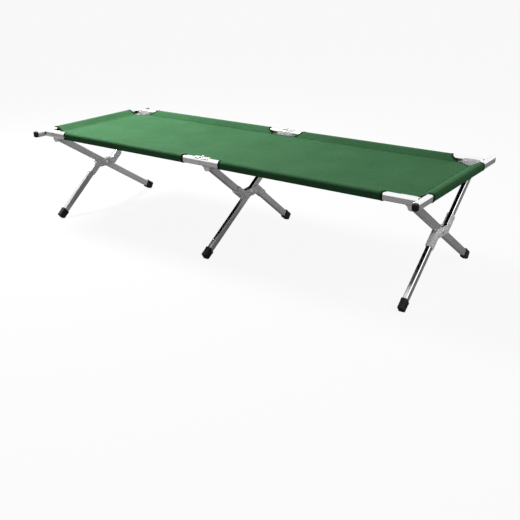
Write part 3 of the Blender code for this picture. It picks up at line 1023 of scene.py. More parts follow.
class Recipe(Graph):
    """A Geometry Nodes tree with named inputs, which ends in plain geometry with a material."""

    def __init__(self, name: str, *numbers: str) -> None:
        """Makes the tree with its geometry, its number inputs and its material.

        Args:
            name: The tree's name.
            numbers: The names of its number inputs.
        """
        super().__init__(bpy.data.node_groups.new(name, "GeometryNodeTree"))
        sockets = [("Geometry", "OUTPUT", "Geometry"), ("Geometry", "INPUT", "Geometry")]
        sockets += [(number, "INPUT", "Float") for number in numbers]
        for label, way, kind in (*sockets, ("Material", "INPUT", "Material")):
            self.tree.interface.new_socket(label, in_out=way, socket_type=f"NodeSocket{kind}")
        self.given = self.node("NodeGroupInput")

    def input(self, name: str) -> Wire:
        """Wraps one of the tree's named inputs."""
        return self.given.beside(name)

    def vector(self, x: float | Wire, y: float | Wire, z: float | Wire) -> Wire:
        """Joins three numbers into a vector."""
        return self.node("ShaderNodeCombineXYZ", {"X": x, "Y": y, "Z": z})

    def scaled(self, geometry: Wire, x: float | Wire, y: float | Wire, z: float | Wire) -> Wire:
        """Scales some geometry along each axis."""
        inputs = {"Geometry": geometry, "Scale": self.vector(x, y, z)}
        return self.node("GeometryNodeTransform", inputs)

    def planted(self, points: Wire, piece: Wire, rotation: Wire) -> Wire:
        """Sets a piece on each point, turned as the point says."""
        inputs = {"Points": points, "Instance": piece, "Rotation": rotation}
        return self.node("GeometryNodeInstanceOnPoints", inputs)

    def end(self, geometry: Wire) -> Recipe:
        """Ends the tree: realizes the instances and gives them the material.

        Args:
            geometry: What the tree has made.

        Returns:
            The finished recipe.
        """
        real = self.node("GeometryNodeRealizeInstances", {"Geometry": geometry})
        smoothed = self.node("GeometryNodeSetShadeSmooth", {"Geometry": real})
        inputs = {"Geometry": smoothed, "Material": self.input("Material")}
        self.node("NodeGroupOutput", {"Geometry": self.node("GeometryNodeSetMaterial", inputs)})
        return self

    def apply(self, obj: Piece, material: Material, numbers: dict[str, float]) -> Piece:
        """Runs the tree on an object and keeps the plain result.

        Args:
            obj: The object, whose mesh is the tree's geometry.
            material: The material of the result.
            numbers: The tree's number inputs, by name.

        Returns:
            The same object with its new mesh.
        """
        modifier = obj.modifiers.new(self.tree.name, "NODES")
        modifier.node_group = self.tree
        values: dict[str, Any] = {**numbers, "Material": material}
        for item in self.tree.interface.items_tree:
            if item.in_out == "INPUT" and item.name in values:
                modifier[item.identifier] = values[item.name]
        return baked(obj)


def stitch_recipe() -> Recipe:
    """Builds the tree that sews a row of stitches along a path.

    Returns:
        The tree, with the inputs Pitch, Length and Thickness in metres.
    """
    recipe = Recipe("stitch_row", "Pitch", "Length", "Thickness")
    path = recipe.node("GeometryNodeMeshToCurve", {"Mesh": recipe.input("Geometry")})
    inputs = {"Curve": path, "Length": recipe.input("Pitch")}
    spots = recipe.node("GeometryNodeCurveToPoints", inputs, mode="LENGTH")
    ball = recipe.node("GeometryNodeMeshUVSphere", {"Segments": 6, "Rings": 4, "Radius": 0.5})
    thick = recipe.input("Thickness")
    stitch = recipe.scaled(ball, thick, thick, recipe.input("Length"))
    return recipe.end(recipe.planted(spots, stitch, spots.beside("Rotation")))


def rivet_recipe() -> Recipe:
    """Builds the tree that sets a domed rivet head on each point, square to its facing.

    Returns:
        The tree, with the inputs Radius and Rise in metres.
    """
    recipe = Recipe("rivet_heads", "Radius", "Rise")
    dome = recipe.node("GeometryNodeMeshUVSphere", {"Segments": 16, "Rings": 9, "Radius": 1.0})
    radius = recipe.input("Radius")
    head = recipe.scaled(dome, radius, radius, recipe.input("Rise"))
    name, kind = {"Name": "facing"}, "FLOAT_VECTOR"
    facing = recipe.node("GeometryNodeInputNamedAttribute", name, "Attribute", data_type=kind)
    turned = recipe.node("FunctionNodeAlignRotationToVector", {"Vector": facing}, axis="Z")
    return recipe.end(recipe.planted(recipe.input("Geometry"), head, turned))


def tape_recipe() -> Recipe:
    """Builds the tree that folds a binding tape over an edge path.

    Returns:
        The tree, with the inputs Width and Thickness in metres.
    """
    recipe = Recipe("edge_tape", "Width", "Thickness")
    path = recipe.node("GeometryNodeMeshToCurve", {"Mesh": recipe.input("Geometry")})
    level = recipe.node("GeometryNodeSetCurveNormal", {"Curve": path}, mode="Z_UP")
    size = {"Resolution": 14, "Radius": 0.5}
    circle = recipe.node("GeometryNodeCurvePrimitiveCircle", size, mode="RADIUS")
    profile = recipe.scaled(circle, recipe.input("Width"), recipe.input("Thickness"), 1.0)
    inputs = {"Curve": level, "Profile Curve": profile, "Fill Caps": True}
    return recipe.end(recipe.node("GeometryNodeCurveToMesh", inputs))


def sag_recipe() -> Recipe:
    """Builds the tree that hangs the flat deck between its seams, by the drawing's own rule.

    The cloth drops by Sag times a parabola across the bed, levels out between Sag Start and
    Sag End, and carries pulled ripples beside the seams and slow waves over its middle.

    Returns:
        The tree, with its inputs in metres.
    """
    names = ("Half Width", "Sag", "Sag Start", "Sag End", "Midline", "Ripple", "Wave")
    seam_band, slow_scale, pulled_scale = (0.72, 0.97), (16.0, 3.0, 0.0), (55.0, 7.0, 3.0)
    recipe = Recipe("deck_sag", *names)
    half_width, sag, start, end, midline, ripples, waves = (recipe.input(n) for n in names)
    here = recipe.node("GeometryNodeInputPosition")
    x = recipe.node("ShaderNodeSeparateXYZ", {"Vector": here})
    y = x.beside("Y") - midline
    share = y / half_width
    across = 1.0 - share * share
    along = 1.0 - recipe.range(abs(x), start, end, soft=True)
    seam = recipe.range(abs(share), *seam_band, soft=True)
    slow, pulled = (
        recipe.noise(recipe.vector(x * per_x, y * per_y, z), 1.0, roughness=0.5) - 0.5
        for per_x, per_y, z in (slow_scale, pulled_scale)
    )
    lift = pulled * seam * ripples + slow * across * waves - across * along * sag
    offset = recipe.vector(0.0, 0.0, lift)
    inputs = {"Geometry": recipe.input("Geometry"), "Offset": offset}
    return recipe.end(recipe.node("GeometryNodeSetPosition", inputs))


@dataclass
class Workshop:
    """What the builders share: the sizes, the finishes, the recipes and the count of pieces."""

    sizes: BedSizes = BedSizes()
    pitch: float = 4.2
    stitch_share: float = 0.72
    thread: float = 0.9
    slots: dict[str, str] = field(default_factory=dict)
    materials: dict[str, Material] = field(default_factory=dict)
    recipes: dict[str, Recipe] = field(default_factory=dict)
    made: int = 0

    def prepare(self) -> None:
        """Builds the finishes and the recipes."""
        for finish in FINISHES:
            self.slots[finish.name] = finish.slot.value
            self.materials[finish.name] = finish.build()
        self.recipes = {"stitch": stitch_recipe(), "rivet": rivet_recipe()}
        self.recipes |= {"tape": tape_recipe(), "sag": sag_recipe()}

    def fit(self, obj: Piece, finish: str, body: str, *nodes: str) -> Piece:
        """Finishes a piece and hangs it on its body.

        Args:
            obj: The piece, in place.
            finish: The name of its finish.
            body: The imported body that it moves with.
            nodes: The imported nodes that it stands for.

        Returns:
            The piece.
        """
        indices = [polygon.material_index for polygon in obj.data.polygons]
        obj.data.materials.clear()
        obj.data.materials.append(self.materials[finish])
        obj.data.polygons.foreach_set("material_index", indices)
        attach(obj, body)
        if nodes:
            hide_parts(*nodes)
        self.made += 1
        LOG.info("%s rides on %s, %d faces", obj.name, body, len(obj.data.polygons))
        return obj

    def make(
        self, solid: Solid, name: str, finish: str, body: str, *nodes: str, angle: float = 32.0
    ) -> Piece:
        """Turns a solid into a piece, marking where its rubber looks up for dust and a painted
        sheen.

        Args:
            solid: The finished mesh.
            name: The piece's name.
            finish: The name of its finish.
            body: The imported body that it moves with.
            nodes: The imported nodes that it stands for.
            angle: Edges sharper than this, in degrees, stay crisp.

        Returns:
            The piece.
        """
        obj = solid.finish(name, angle)
        # Rubber keeps how much each point looks up, where dust and a painted sheen lighten it.
        if self.slots[finish] == Slot.RUBBER.value:
            layer = obj.data.attributes.new("dust", "FLOAT", "POINT")
            for entry, vert in zip(layer.data, obj.data.vertices):
                entry.value = max(0.0, vert.normal.z)
        return self.fit(obj, finish, body, *nodes)

    def path_mesh(self, name: str, paths: Sequence[Ring]) -> Piece:
        """Makes an object of open edge paths for a recipe to follow.

        Args:
            name: The object's name.
            paths: The paths' points in the drawing.

        Returns:
            The object.
        """
        verts: list[Vector] = []
        edges: list[tuple[int, int]] = []
        for path in paths:
            start = len(verts)
            verts += [packed(point) for point in path]
            edges += [(i, i + 1) for i in range(start, len(verts) - 1)]
        data = bpy.data.meshes.new(name)
        data.from_pydata(verts, edges, [])
        return linked(name, data)

    def follow(self, obj: Piece, recipe: str, finish: str, body: str, **sizes: float) -> Piece:
        """Runs a recipe on an object and hangs the result on its body.

        Args:
            obj: The object that the recipe starts from.
            recipe: The recipe's name.
            finish: The name of the finish.
            body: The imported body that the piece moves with.
            sizes: The recipe's inputs in millimetres.

        Returns:
            The piece.
        """
        numbers = {name: size * MM for name, size in sizes.items()}
        self.recipes[recipe].apply(obj, self.materials[finish], numbers)
        return self.fit(obj, finish, body)

    def stitches(self, name: str, rows: Sequence[Ring], body: str) -> Piece:
        """Sews rows of stitches.

        Args:
            name: The piece's name.
            rows: The paths that they follow in the drawing.
            body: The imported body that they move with.

        Returns:
            The stitches as one piece.
        """
        sizes = {"Length": self.stitch_share * self.pitch, "Thickness": self.thread}
        obj = self.path_mesh(name, rows)
        return self.follow(obj, "stitch", "green_thread", body, Pitch=self.pitch, **sizes)

    def rivets(
        self, name: str, spots: Sequence[Spot], size: Point, finish: str, body: str
    ) -> Piece:
        """Sets domed rivet heads.

        Args:
            name: The piece's name.
            spots: The centre and the facing of each head in the drawing.
            size: The heads' radius and rise.
            finish: The name of their finish.
            body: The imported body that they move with.

        Returns:
            The heads as one piece.
        """
        obj = self.path_mesh(name, [[spot] for spot, _ in spots])
        facing = obj.data.attributes.new("facing", "FLOAT_VECTOR", "POINT")
        for entry, (_, out) in zip(facing.data, spots):
            entry.vector = out
        return self.follow(obj, "rivet", finish, body, Radius=size[0], Rise=size[1])


def pin_profile(radius: float, length: float, head: float, rise: float) -> Outline:
    """Draws a pin with a domed head past each end of the length it holds.

    Args:
        radius: The shank's radius.
        length: The length between the heads.
        head: The heads' radius.
        rise: The heads' thickness.

    Returns:
        The (radius, z) profile for a lathe.
    """
    dome = [(0.25, 1.0), (0.55, 0.93), (0.8, 0.72), (0.95, 0.42), (1.0, 0.12), (0.97, 0.0)]
    low = [(head * r, -length / 2 - rise * z) for r, z in dome] + [(radius, -length / 2)]
    return low + [(r, -z) for r, z in reversed(low)]


@dataclass
class Rails:
    """The four tubes of the side rails, which meet at the middle."""

    shop: Workshop
    wall: float = 1.6
    edge: float = 0.7

    def build(self) -> None:
        """Makes the four tubes."""
        bed = self.shop.sizes
        size = (bed.rail_width, bed.rail_height, bed.rail_corner)
        for side, half in product(Side, Half):
            front, end = side.label, half.label
            origin = (0, side.value * bed.rail_y, bed.rail_z)
            place = frame_of(origin, (0, half.value, 0), (0, 0, 1))
            solid = Solid()
            solid.tube(size, self.wall, (bed.gap, bed.rail_end), place, self.edge)
            names = (f"{front}_{end}", f"{front}_rail_{end}")
            self.shop.make(solid, f"{front}_rail_tube_{end}", "bright_tube", *names)


@dataclass
class Hinges:
    """The two hinges on top of the rails' joints."""

    shop: Workshop
    rise: float = 4.0
    leaf_start: float = 5.0
    leaf_length: float = 38.0
    thickness: float = 2.2
    width: float = 24.0
    corner: float = 4.0
    edge: float = 0.5
    tongue: float = 8.0
    arm_start: float = 1.8
    arm_lap: float = 2.0
    arm_sink: float = 0.3
    arm_edge: float = 0.2
    bore: float = 2.0
    knuckle: float = 3.7
    knuckle_edge: Point = (0.3, 0.4)
    rivet: Point = (2.6, 1.1)
    rivet_spots: Sequence[Point] = ((13, 0), (31, -6), (31, 6))

    def build(self) -> None:
        """Makes the four leaves."""
        for side, half in product(Side, Half):
            self.leaf(side, half)

    def leaf(self, side: Side, half: Half) -> None:
        """Makes a leaf with its knuckles and rivets.

        Args:
            side: The rail that it lies on.
            half: The half of the rail.
        """
        bed, hx = self.shop.sizes, half.value
        y, low = side.value * bed.rail_y, bed.rail_top + bed.gap
        axis = frame_of((0, y, bed.rail_top + self.rise), (0, 0, 1), (1, 0, 0))
        flat = frame_of((0, y, 0), (1, 0, 0), (0, 1, 0))
        edge, step, top = self.width / 2, self.tongue / 2, low + self.thickness
        solid = Solid()
        outline = rectangle(hx * self.leaf_start, hx * self.leaf_length, -edge, edge)
        solid.plate(filleted(outline, self.corner), low, top, flat, self.edge)
        spans = [(-step, step)]
        if half is Half.RIGHT:
            spans = [(-edge, -step - bed.gap), (step + bed.gap, edge)]
        for start, end in spans:
            reach = hx * (self.leaf_start + self.arm_lap)
            arm = rectangle(hx * self.arm_start, reach, start, end)
            solid.plate(arm, low + self.arm_sink, top - self.arm_sink, flat, self.arm_edge)
            broken = (self.knuckle - self.knuckle_edge[0], start)
            ends = [(self.bore, start), broken, (self.knuckle, start + self.knuckle_edge[1])]
            solid.lathe(ends + [(r, start + end - z) for r, z in reversed(ends)], axis)
        body, stem = f"{side.label}_{half.label}", f"{side.label}_hinge"
        name, node = f"{stem}_plate_{half.label}", f"{stem}_leaf_{half.label}"
        self.shop.make(solid, name, "zinc_plate", body, node)
        spots = [(Vector((hx * px, y + py, top)), Vector((0, 0, 1))) for px, py in self.rivet_spots]
        self.shop.rivets(f"{stem}_rivets_{half.label}", spots, self.rivet, "zinc_plate", body)


@dataclass
class EndBars:
    """The grooved bars across the ends of the bed, with a rubber cap at the front."""

    shop: Workshop
    groove_depth: float = 13.5
    groove_half: float = 6.0
    groove_end: float = 319.0
    groove_slope: float = 4.0
    lip: Point = (0.15, 0.3)
    mouth_share: float = 0.94
    mouth_edge: float = 1.0
    round_off: float = 9.0
    tip_share: float = 0.45
    tip_steps: int = 8
    head: float = 12.0
    head_round: float = 4.5
    head_steps: int = 6
    bead: Sequence[Point] = ((0, 3.4), (0.6, 2.8), (0.6, 2.0), (0, 1.4), (0, 0.4), (0.4, 0))
    inset: float = 1.5
    tongue: float = 22.0
    tongue_edge: float = 0.4

    def section(self, half: Half, shrink: float, open_share: float) -> Outline:
        """Outlines the bar with its groove towards the rails.

        Args:
            half: The end of the bed.
            shrink: The share of the size that is left, near the rounded tip.
            open_share: The share of the groove's depth that is open.

        Returns:
            The closed outline in (z, x) about the bar's middle.
        """
        bed = self.shop.sizes
        box = rounded_box(bed.bar_height, bed.bar_depth, bed.bar_corner)
        inward = -half.value
        ahead = [inward * (p[1] + q[1]) / 2 - abs(p[0] + q[0]) for p, q in neighbours(box)]
        gap = ahead.index(max(ahead)) + 1
        loop = box[gap:] + box[:gap]
        face = inward * bed.bar_depth / 2
        floor = face - inward * self.groove_depth * open_share
        side = math.copysign(1.0, loop[0][0])
        mouth = self.groove_half * side
        start = [(mouth, floor), (mouth, face - inward * self.lip[1] * open_share)]
        start.append((mouth + self.lip[0] * side, face))
        loop = start + loop + [(-z, x) for z, x in reversed(start)]
        return [(z * shrink, x * shrink) for z, x in loop]

    def build(self) -> None:
        """Makes both bars and their caps."""
        bed, end, slope = self.shop.sizes, self.groove_end, self.groove_slope
        stations = [(self.mouth_share, 0.0, bed.bar_front)]
        stations.append((1.0, 0.0, bed.bar_front + self.mouth_edge))
        stations += [(1.0, 0.0, -end - slope), (1.0, 1.0, -end)]
        stations += [(1.0, 1.0, end), (1.0, 0.0, end + slope)]
        for a in spread(0, math.pi / 2, self.tip_steps)[:-1]:
            share = self.tip_share + (1 - self.tip_share) * math.cos(a)
            stations.append((share, 0.0, bed.bar_rear - self.round_off * (1 - math.sin(a))))
        for half in Half:
            body = f"end_bar_{half.label}"
            place = frame_of((half.value * bed.bar_x, 0, bed.rail_z), (0, 0, 1), (1, 0, 0))
            solid = Solid()
            solid.loft([ring_at(self.section(half, s, o), y, place) for s, o, y in stations])
            self.shop.make(solid, f"{body}_tube", "bright_tube", body, body)
            self.cap(half, place, body)

    def cap(self, half: Half, place: Matrix, body: str) -> None:
        """Makes the rubber cap that plugs a bar's front end, its tongue in the groove.

        Args:
            half: The end of the bed.
            place: The bar's place.
            body: The bar's body.
        """
        bed, inward = self.shop.sizes, -half.value
        outline = rounded_box(bed.bar_height, bed.bar_depth, bed.bar_corner, -self.inset)
        back = bed.bar_front - bed.gap
        rings = rolled(self.head_round, back - self.head, self.head_steps)
        rings += [(depth, back - ahead) for depth, ahead in self.bead]
        solid = Solid()
        solid.loft(layers(outline, rings, place))
        near = inward * (bed.bar_depth / 2 - self.inset - bed.gap)
        far = inward * (bed.bar_depth / 2 - self.groove_depth + bed.gap)
        thick = self.groove_half - bed.gap
        start, end = back - self.head / 2, bed.bar_front + self.tongue
        solid.plate(rectangle(-thick, thick, near, far), start, end, place, self.tongue_edge)
        self.shop.make(solid, f"{body}_rubber_cap", "black_rubber_cap", body, f"{body}_cap")


@dataclass
class Scissors:
    """The three sets of crossed legs with their hangers, yokes, hub brackets and feet."""

    shop: Workshop
    leg_corner: float = 3.8
    leg_wall: float = 1.5
    leg_edge: float = 0.6
    half_leg_start: float = 33.0
    plate_length: float = 76.0
    plate_height: float = 26.0
    plate_edge: float = 0.5
    plate_steps: int = 12
    plate_tongue: float = 13.0
    tongue_steps: int = 14
    tongue_pin: float = 4.0
    tongue_pin_start: float = 1.2
    tongue_pin_tip: Point = (3.4, 0.2)
    end_plate_shift: float = 8.0
    mid_plate_shift: float = -10.0
    plate_rivet: Point = (4.0, 1.2)
    yoke_height: float = 22.0
    yoke_past_pin: float = 11.0
    yoke_edge: float = 0.4
    yoke_pin: float = 4.0
    yoke_pin_head: Point = (6.0, 1.2)
    yoke_pin_sink: float = 0.2
    hub_reach: float = 100.0
    hub_waist: float = 45.0
    hub_shoulder: float = 28.0
    hub_margin: float = 2.0
    hub_corner: float = 5.0
    hub_edge: float = 0.8
    hub_lap: float = 0.9
    hub_rivet: Point = (4.2, 1.8)
    hub_rivets: Point = (56.0, 86.0)
    hub_pin: float = 5.0
    hub_pin_head: Point = (9.0, 2.0)
    web_short: float = 1.0
    web_edge: float = 0.4
    rib_size: Point = (15.0, 4.5)
    rib_corner: float = 4.2
    rib_out: float = 33.0
    rib_sink: float = 0.4
    rib_rise: float = 0.9
    rib_edge: float = 0.6
    cap_length: float = 42.0
    cap_wall: float = 2.5
    cap_bulge: float = 1.5
    cap_end: float = 12.0
    cap_corner: float = 7.0
    cap_round: float = 3.0
    cap_steps: int = 5
    cap_ribs: Sequence[float] = (13.0, 18.0, 23.0)
    cap_rib: Sequence[Point] = ((0, 0), (0.6, 0.6), (0.6, 1.8), (0, 2.4))
    cap_collar: Sequence[Point] = ((0, 9.0), (-0.7, 8.0), (-0.7, 1.2), (0.1, 0))

    def build(self) -> None:
        """Makes the three sets."""
        for legs, side in product(LegSet, Side):
            self.hanger(legs, side)
            self.yoke(legs, side)
            if side is legs.cranked:
                self.cranked_leg(legs, side)
            else:
                self.straight_leg(legs, side)

    def leg_ways(self, turn: int, lean: float) -> Spot:
        """Finds the way up a leg that leans to the side of turn, and the way its face looks."""
        up = Vector((0, turn * math.sin(lean), math.cos(lean)))
        return up, Vector((0, turn * math.cos(lean), -math.sin(lean)))

    def leg_place(self, x: float, turn: int, offset: float, lean: float) -> Matrix:
        """Finds a leg's place at the hub, local z running up the leg.

        Args:
            x: The set's x.
            turn: The sign of the side that the leg leans to.
            offset: How far the leg's axis passes from the hub.
            lean: The leg's angle from the upright.

        Returns:
            The place.
        """
        up, out = self.leg_ways(turn, lean)
        across = Vector((turn, 0, 0))
        centre = Vector((x, 0, self.shop.sizes.hub_z)) + out * offset
        return frame_of(centre, across, up.cross(across))

    def sole_drop(self, lean: float) -> float:
        """Finds how far above the floor a leg's axis ends, so that each cap is cut as deep.

        Args:
            lean: The leg's angle from the upright.

        Returns:
            The height.
        """
        bed = self.shop.sizes
        reach = bed.leg_depth / 2 + bed.gap + self.cap_wall
        return bed.foot_z + reach * (math.sin(lean) - math.sin(bed.lean))

    def tube(self, name: str, place: Matrix, start: float, end: float, body: str) -> None:
        """Makes one leg tube.

        Args:
            name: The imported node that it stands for.
            place: The leg's place.
            start: The lower end along the leg.
            end: The upper end along the leg.
            body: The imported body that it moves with.
        """
        bed = self.shop.sizes
        size = (bed.leg_width, bed.leg_depth, self.leg_corner)
        solid = Solid()
        solid.tube(size, self.leg_wall, (start, end), place, self.leg_edge)
        # Leg tubes take the darker copy of the rails' metal, painted shade for their darker
        # reflections.
        self.shop.make(solid, f"{name}_tube", "satin_leg", body, name)

    def straight_leg(self, legs: LegSet, side: Side) -> None:
        """Makes the leg that runs straight from its rail to the foot on the other side.

        Args:
            legs: The set that it belongs to.
            side: The rail that it comes from.
        """
        bed = self.shop.sizes
        body = f"{legs.label}_{side.label}_leg"
        place = self.leg_place(legs.value, side.value, 0, bed.lean)
        foot = -(bed.hub_z - self.sole_drop(bed.lean)) / math.cos(bed.lean)
        start, end = foot + self.cap_end + bed.gap, bed.arm + bed.past_pin
        self.tube(body, place, start, end, body)
        self.foot_cap(f"{legs.label}_{side.label}_foot", place, foot, body)

    def cranked_leg(self, legs: LegSet, side: Side) -> None:
        """Makes the leg in two halves that pass each side of the straight one, and its bracket.

        Args:
            legs: The set that it belongs to.
            side: The rail that it comes from.
        """
        bed = self.shop.sizes
        body = f"{legs.label}_{side.label}_leg"
        lean = bed.lean - math.asin(bed.crank / bed.arm)
        upper, lower = (
            self.leg_place(legs.value, side.value, offset, lean)
            for offset in (bed.crank, -bed.crank)
        )
        end = math.sqrt(bed.arm**2 - bed.crank**2) + bed.past_pin
        foot = -(lower.translation.z - self.sole_drop(lean)) / math.cos(lean)
        start = foot + self.cap_end + bed.gap
        self.tube(f"{body}_upper", upper, self.half_leg_start, end, body)
        self.tube(f"{body}_lower", lower, start, -self.half_leg_start, body)
        self.foot_cap(f"{legs.label}_{side.label}_foot", lower, foot, body)
        self.bracket(legs, side, lean, body)

    def bracket(self, legs: LegSet, side: Side, lean: float, body: str) -> None:
        """Makes the pressed bracket that joins two half legs round the hub, with its pin.

        Args:
            legs: The set that it belongs to.
            side: The rail that its leg comes from.
            lean: The half legs' angle from the upright.
            body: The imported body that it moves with.
        """
        bed, stem, signs = self.shop.sizes, f"{legs.label}_hub", (1, -1)
        up, out = self.leg_ways(side.value, lean)
        place = frame_of((legs.value, 0, bed.hub_z), out, up)
        edge = bed.crank + bed.leg_depth / 2 + bed.gap
        rim, inner = edge + self.hub_margin, bed.crank - bed.leg_depth / 2 - bed.gap
        reach, waist = self.hub_reach, self.hub_waist
        corners = [(rim, self.hub_shoulder), (rim, reach), (inner, reach), (inner, waist)]
        corners += [(-px, -py) for px, py in corners]
        outline = filleted(corners, self.hub_corner)
        low = bed.leg_width / 2 + bed.fit
        high, lap = low + bed.plate, low + self.hub_lap
        solid = Solid()
        for start, end in ((-high, -low), (low, high)):
            solid.plate(outline, start, end, place, self.hub_edge)
        for sign in signs:
            top = sign * (reach - self.web_short)
            web = rectangle(sign * edge, sign * rim, sign * waist, top)
            solid.plate(web, -lap, lap, place, self.web_edge)
        self.shop.make(solid, f"{stem}_plates", "dull_fitting", body, f"{stem}_bracket")

        spots = []
        for sign, along, face in product(signs, self.hub_rivets, signs):
            spot = place @ Vector((sign * bed.crank, sign * along, face * high))
            spots.append((spot, Vector((face * place.col[2][0], 0, 0))))
        self.shop.rivets(f"{stem}_rivets", spots, self.hub_rivet, "dull_fitting", body)

        ribs = Solid()
        slant = math.atan2(waist + self.hub_shoulder, rim + inner)
        turned = place @ Matrix.Rotation(slant, 4, "Z")
        length, width = self.rib_size
        bead = filleted(rectangle(-length, length, -width, width), self.rib_corner)
        for face, sign in product(signs, signs):
            start, end = sorted((face * (high - self.rib_sink), face * (high + self.rib_rise)))
            spot = turned @ Matrix.Translation((sign * self.rib_out, 0, 0))
            ribs.plate(bead, start, end, spot, self.rib_edge)
        self.shop.make(ribs, f"{stem}_ribs", "dull_fitting", body)

        pin = Solid()
        length = bed.leg_width + 2 * (bed.fit + bed.plate + bed.gap)
        axis = frame_of((legs.value, 0, bed.hub_z), (0, 1, 0), (0, 0, 1))
        pin.lathe(pin_profile(self.hub_pin, length, *self.hub_pin_head), axis)
        self.shop.make(pin, f"{stem}_domed_pin", "zinc_plate", body, f"{stem}_pin")

    def foot_cap(self, name: str, place: Matrix, foot: float, body: str) -> None:
        """Makes a rubber foot with a collar and grip ribs, its sole cut flat on the floor.

        Args:
            name: The start of the piece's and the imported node's name.
            place: The leg's place.
            foot: The cap's lower end along the leg.
            body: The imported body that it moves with.
        """
        bed, top = self.shop.sizes, foot + self.cap_length
        grow = 2 * (bed.gap + self.cap_wall)
        depth = bed.leg_depth + grow + 2 * self.cap_bulge
        outer = rounded_box(bed.leg_width + grow, depth, self.cap_corner)
        pocket = rounded_box(bed.leg_width, bed.leg_depth, self.leg_corner, bed.gap)
        rings = rolled(self.cap_round, foot, self.cap_steps)
        for start in self.cap_ribs:
            rings += [(sunk, foot + start + step) for sunk, step in self.cap_rib]
        rings += [(sunk, top - below) for sunk, below in self.cap_collar]
        skin = layers(outer, rings, place)
        skin += [ring_at(pocket, z, place) for z in (top, foot + self.cap_end)]
        solid = Solid()
        solid.loft(skin)
        solid.cut_below(0.0)
        self.shop.make(solid, f"{name}_rubber", "black_rubber_cap", body, f"{name}_cap")

    def hanger(self, legs: LegSet, side: Side) -> None:
        """Makes the oval plate inside a rail, its tongue and its rivets.

        Args:
            legs: The set that hangs from it.
            side: The rail that it is riveted to.
        """
        bed, sy, x = self.shop.sizes, side.value, legs.value
        shifts = {LegSet.LEFT: self.end_plate_shift, LegSet.RIGHT: -self.end_plate_shift}
        shift = sy * shifts.get(legs, self.mid_plate_shift)
        level, axis = (
            frame_of((x, sy * bed.rail_inner, z), (sy, 0, 0), (0, 0, 1))
            for z in (bed.rail_z, bed.pin_z)
        )
        half = self.plate_height / 2
        flat = self.plate_length / 2 - half
        drop = bed.pin_z - bed.rail_z
        outline = arc((shift - flat, 0), half, 90, 270, self.plate_steps)
        outline += arc((0, drop), self.plate_tongue, 180, 360, self.tongue_steps)
        outline += arc((shift + flat, 0), half, -90, 90, self.plate_steps)
        solid = Solid()
        solid.plate(outline, bed.gap, bed.gap + bed.plate, level, self.plate_edge)
        far = bed.rail_inner - bed.yoke_outer + bed.plate
        tip, taper = self.tongue_pin_tip
        thick, start = self.tongue_pin, bed.gap + self.tongue_pin_start
        solid.lathe([(thick, start), (thick, far - taper), (tip, far)], axis)
        body, stem = f"{side.label}_{legs.half.label}", f"{legs.label}_hanger"
        name, node = f"{stem}_plate_{side.label}", f"{stem}_{side.label}"
        self.shop.make(solid, name, "dull_fitting", body, node)
        face = sy * (bed.rail_inner - bed.gap - bed.plate)
        xs = [x + sy * (shift + along) for along in (-flat, flat)]
        spots = [(Vector((at, face, bed.rail_z)), Vector((0, -sy, 0))) for at in xs]
        name = f"{stem}_rivets_{side.label}"
        self.shop.rivets(name, spots, self.plate_rivet, "dull_fitting", body)

    def yoke(self, legs: LegSet, side: Side) -> None:
        """Makes the channel that holds the top of a leg on its cross pin.

        Args:
            legs: The set that it belongs to.
            side: The rail that it hangs from.
        """
        bed, sy, x = self.shop.sizes, side.value, legs.value
        inside = bed.leg_width / 2 + bed.fit
        outside = inside + bed.plate
        back, tip = bed.yoke_outer - bed.pin_y, -self.yoke_past_pin
        right = [(inside, back - bed.plate), (inside, tip), (outside, tip), (outside, back)]
        channel = [(-px, py) for px, py in reversed(right)] + right
        channel = [(px, sy * py) for px, py in channel[::sy]]
        place = frame_of((x, sy * bed.pin_y, bed.pin_z), (1, 0, 0), (0, 1, 0))
        axis = frame_of((x, sy * bed.pin_y, bed.pin_z), (0, 1, 0), (0, 0, 1))
        half = self.yoke_height / 2
        solid = Solid()
        solid.plate(channel, -half, half, place, self.yoke_edge)
        length = 2 * outside - self.yoke_pin_sink
        solid.lathe(pin_profile(self.yoke_pin, length, *self.yoke_pin_head), axis)
        name, node = f"{legs.label}_yoke_channel_{side.label}", f"{legs.label}_yoke_{side.label}"
        body = f"{legs.label}_{side.label}_yoke"
        self.shop.make(solid, name, "dull_fitting", body, node)


@dataclass(frozen=True)
class Wrinkle:
    """Soft wrinkles in cloth: how fast they change each way, their height and their seed."""

    scale: Sequence[float]
    height: float
    seed: int

    def push(self, spot: Sequence[float], side: int, half: int) -> float:
        """Reads how far they push a point of the cloth on a side and a half of the bed."""
        scaled = (way * scale for way, scale in zip(spot, self.scale))
        return self.height * ripple(*scaled, self.seed * side + half)


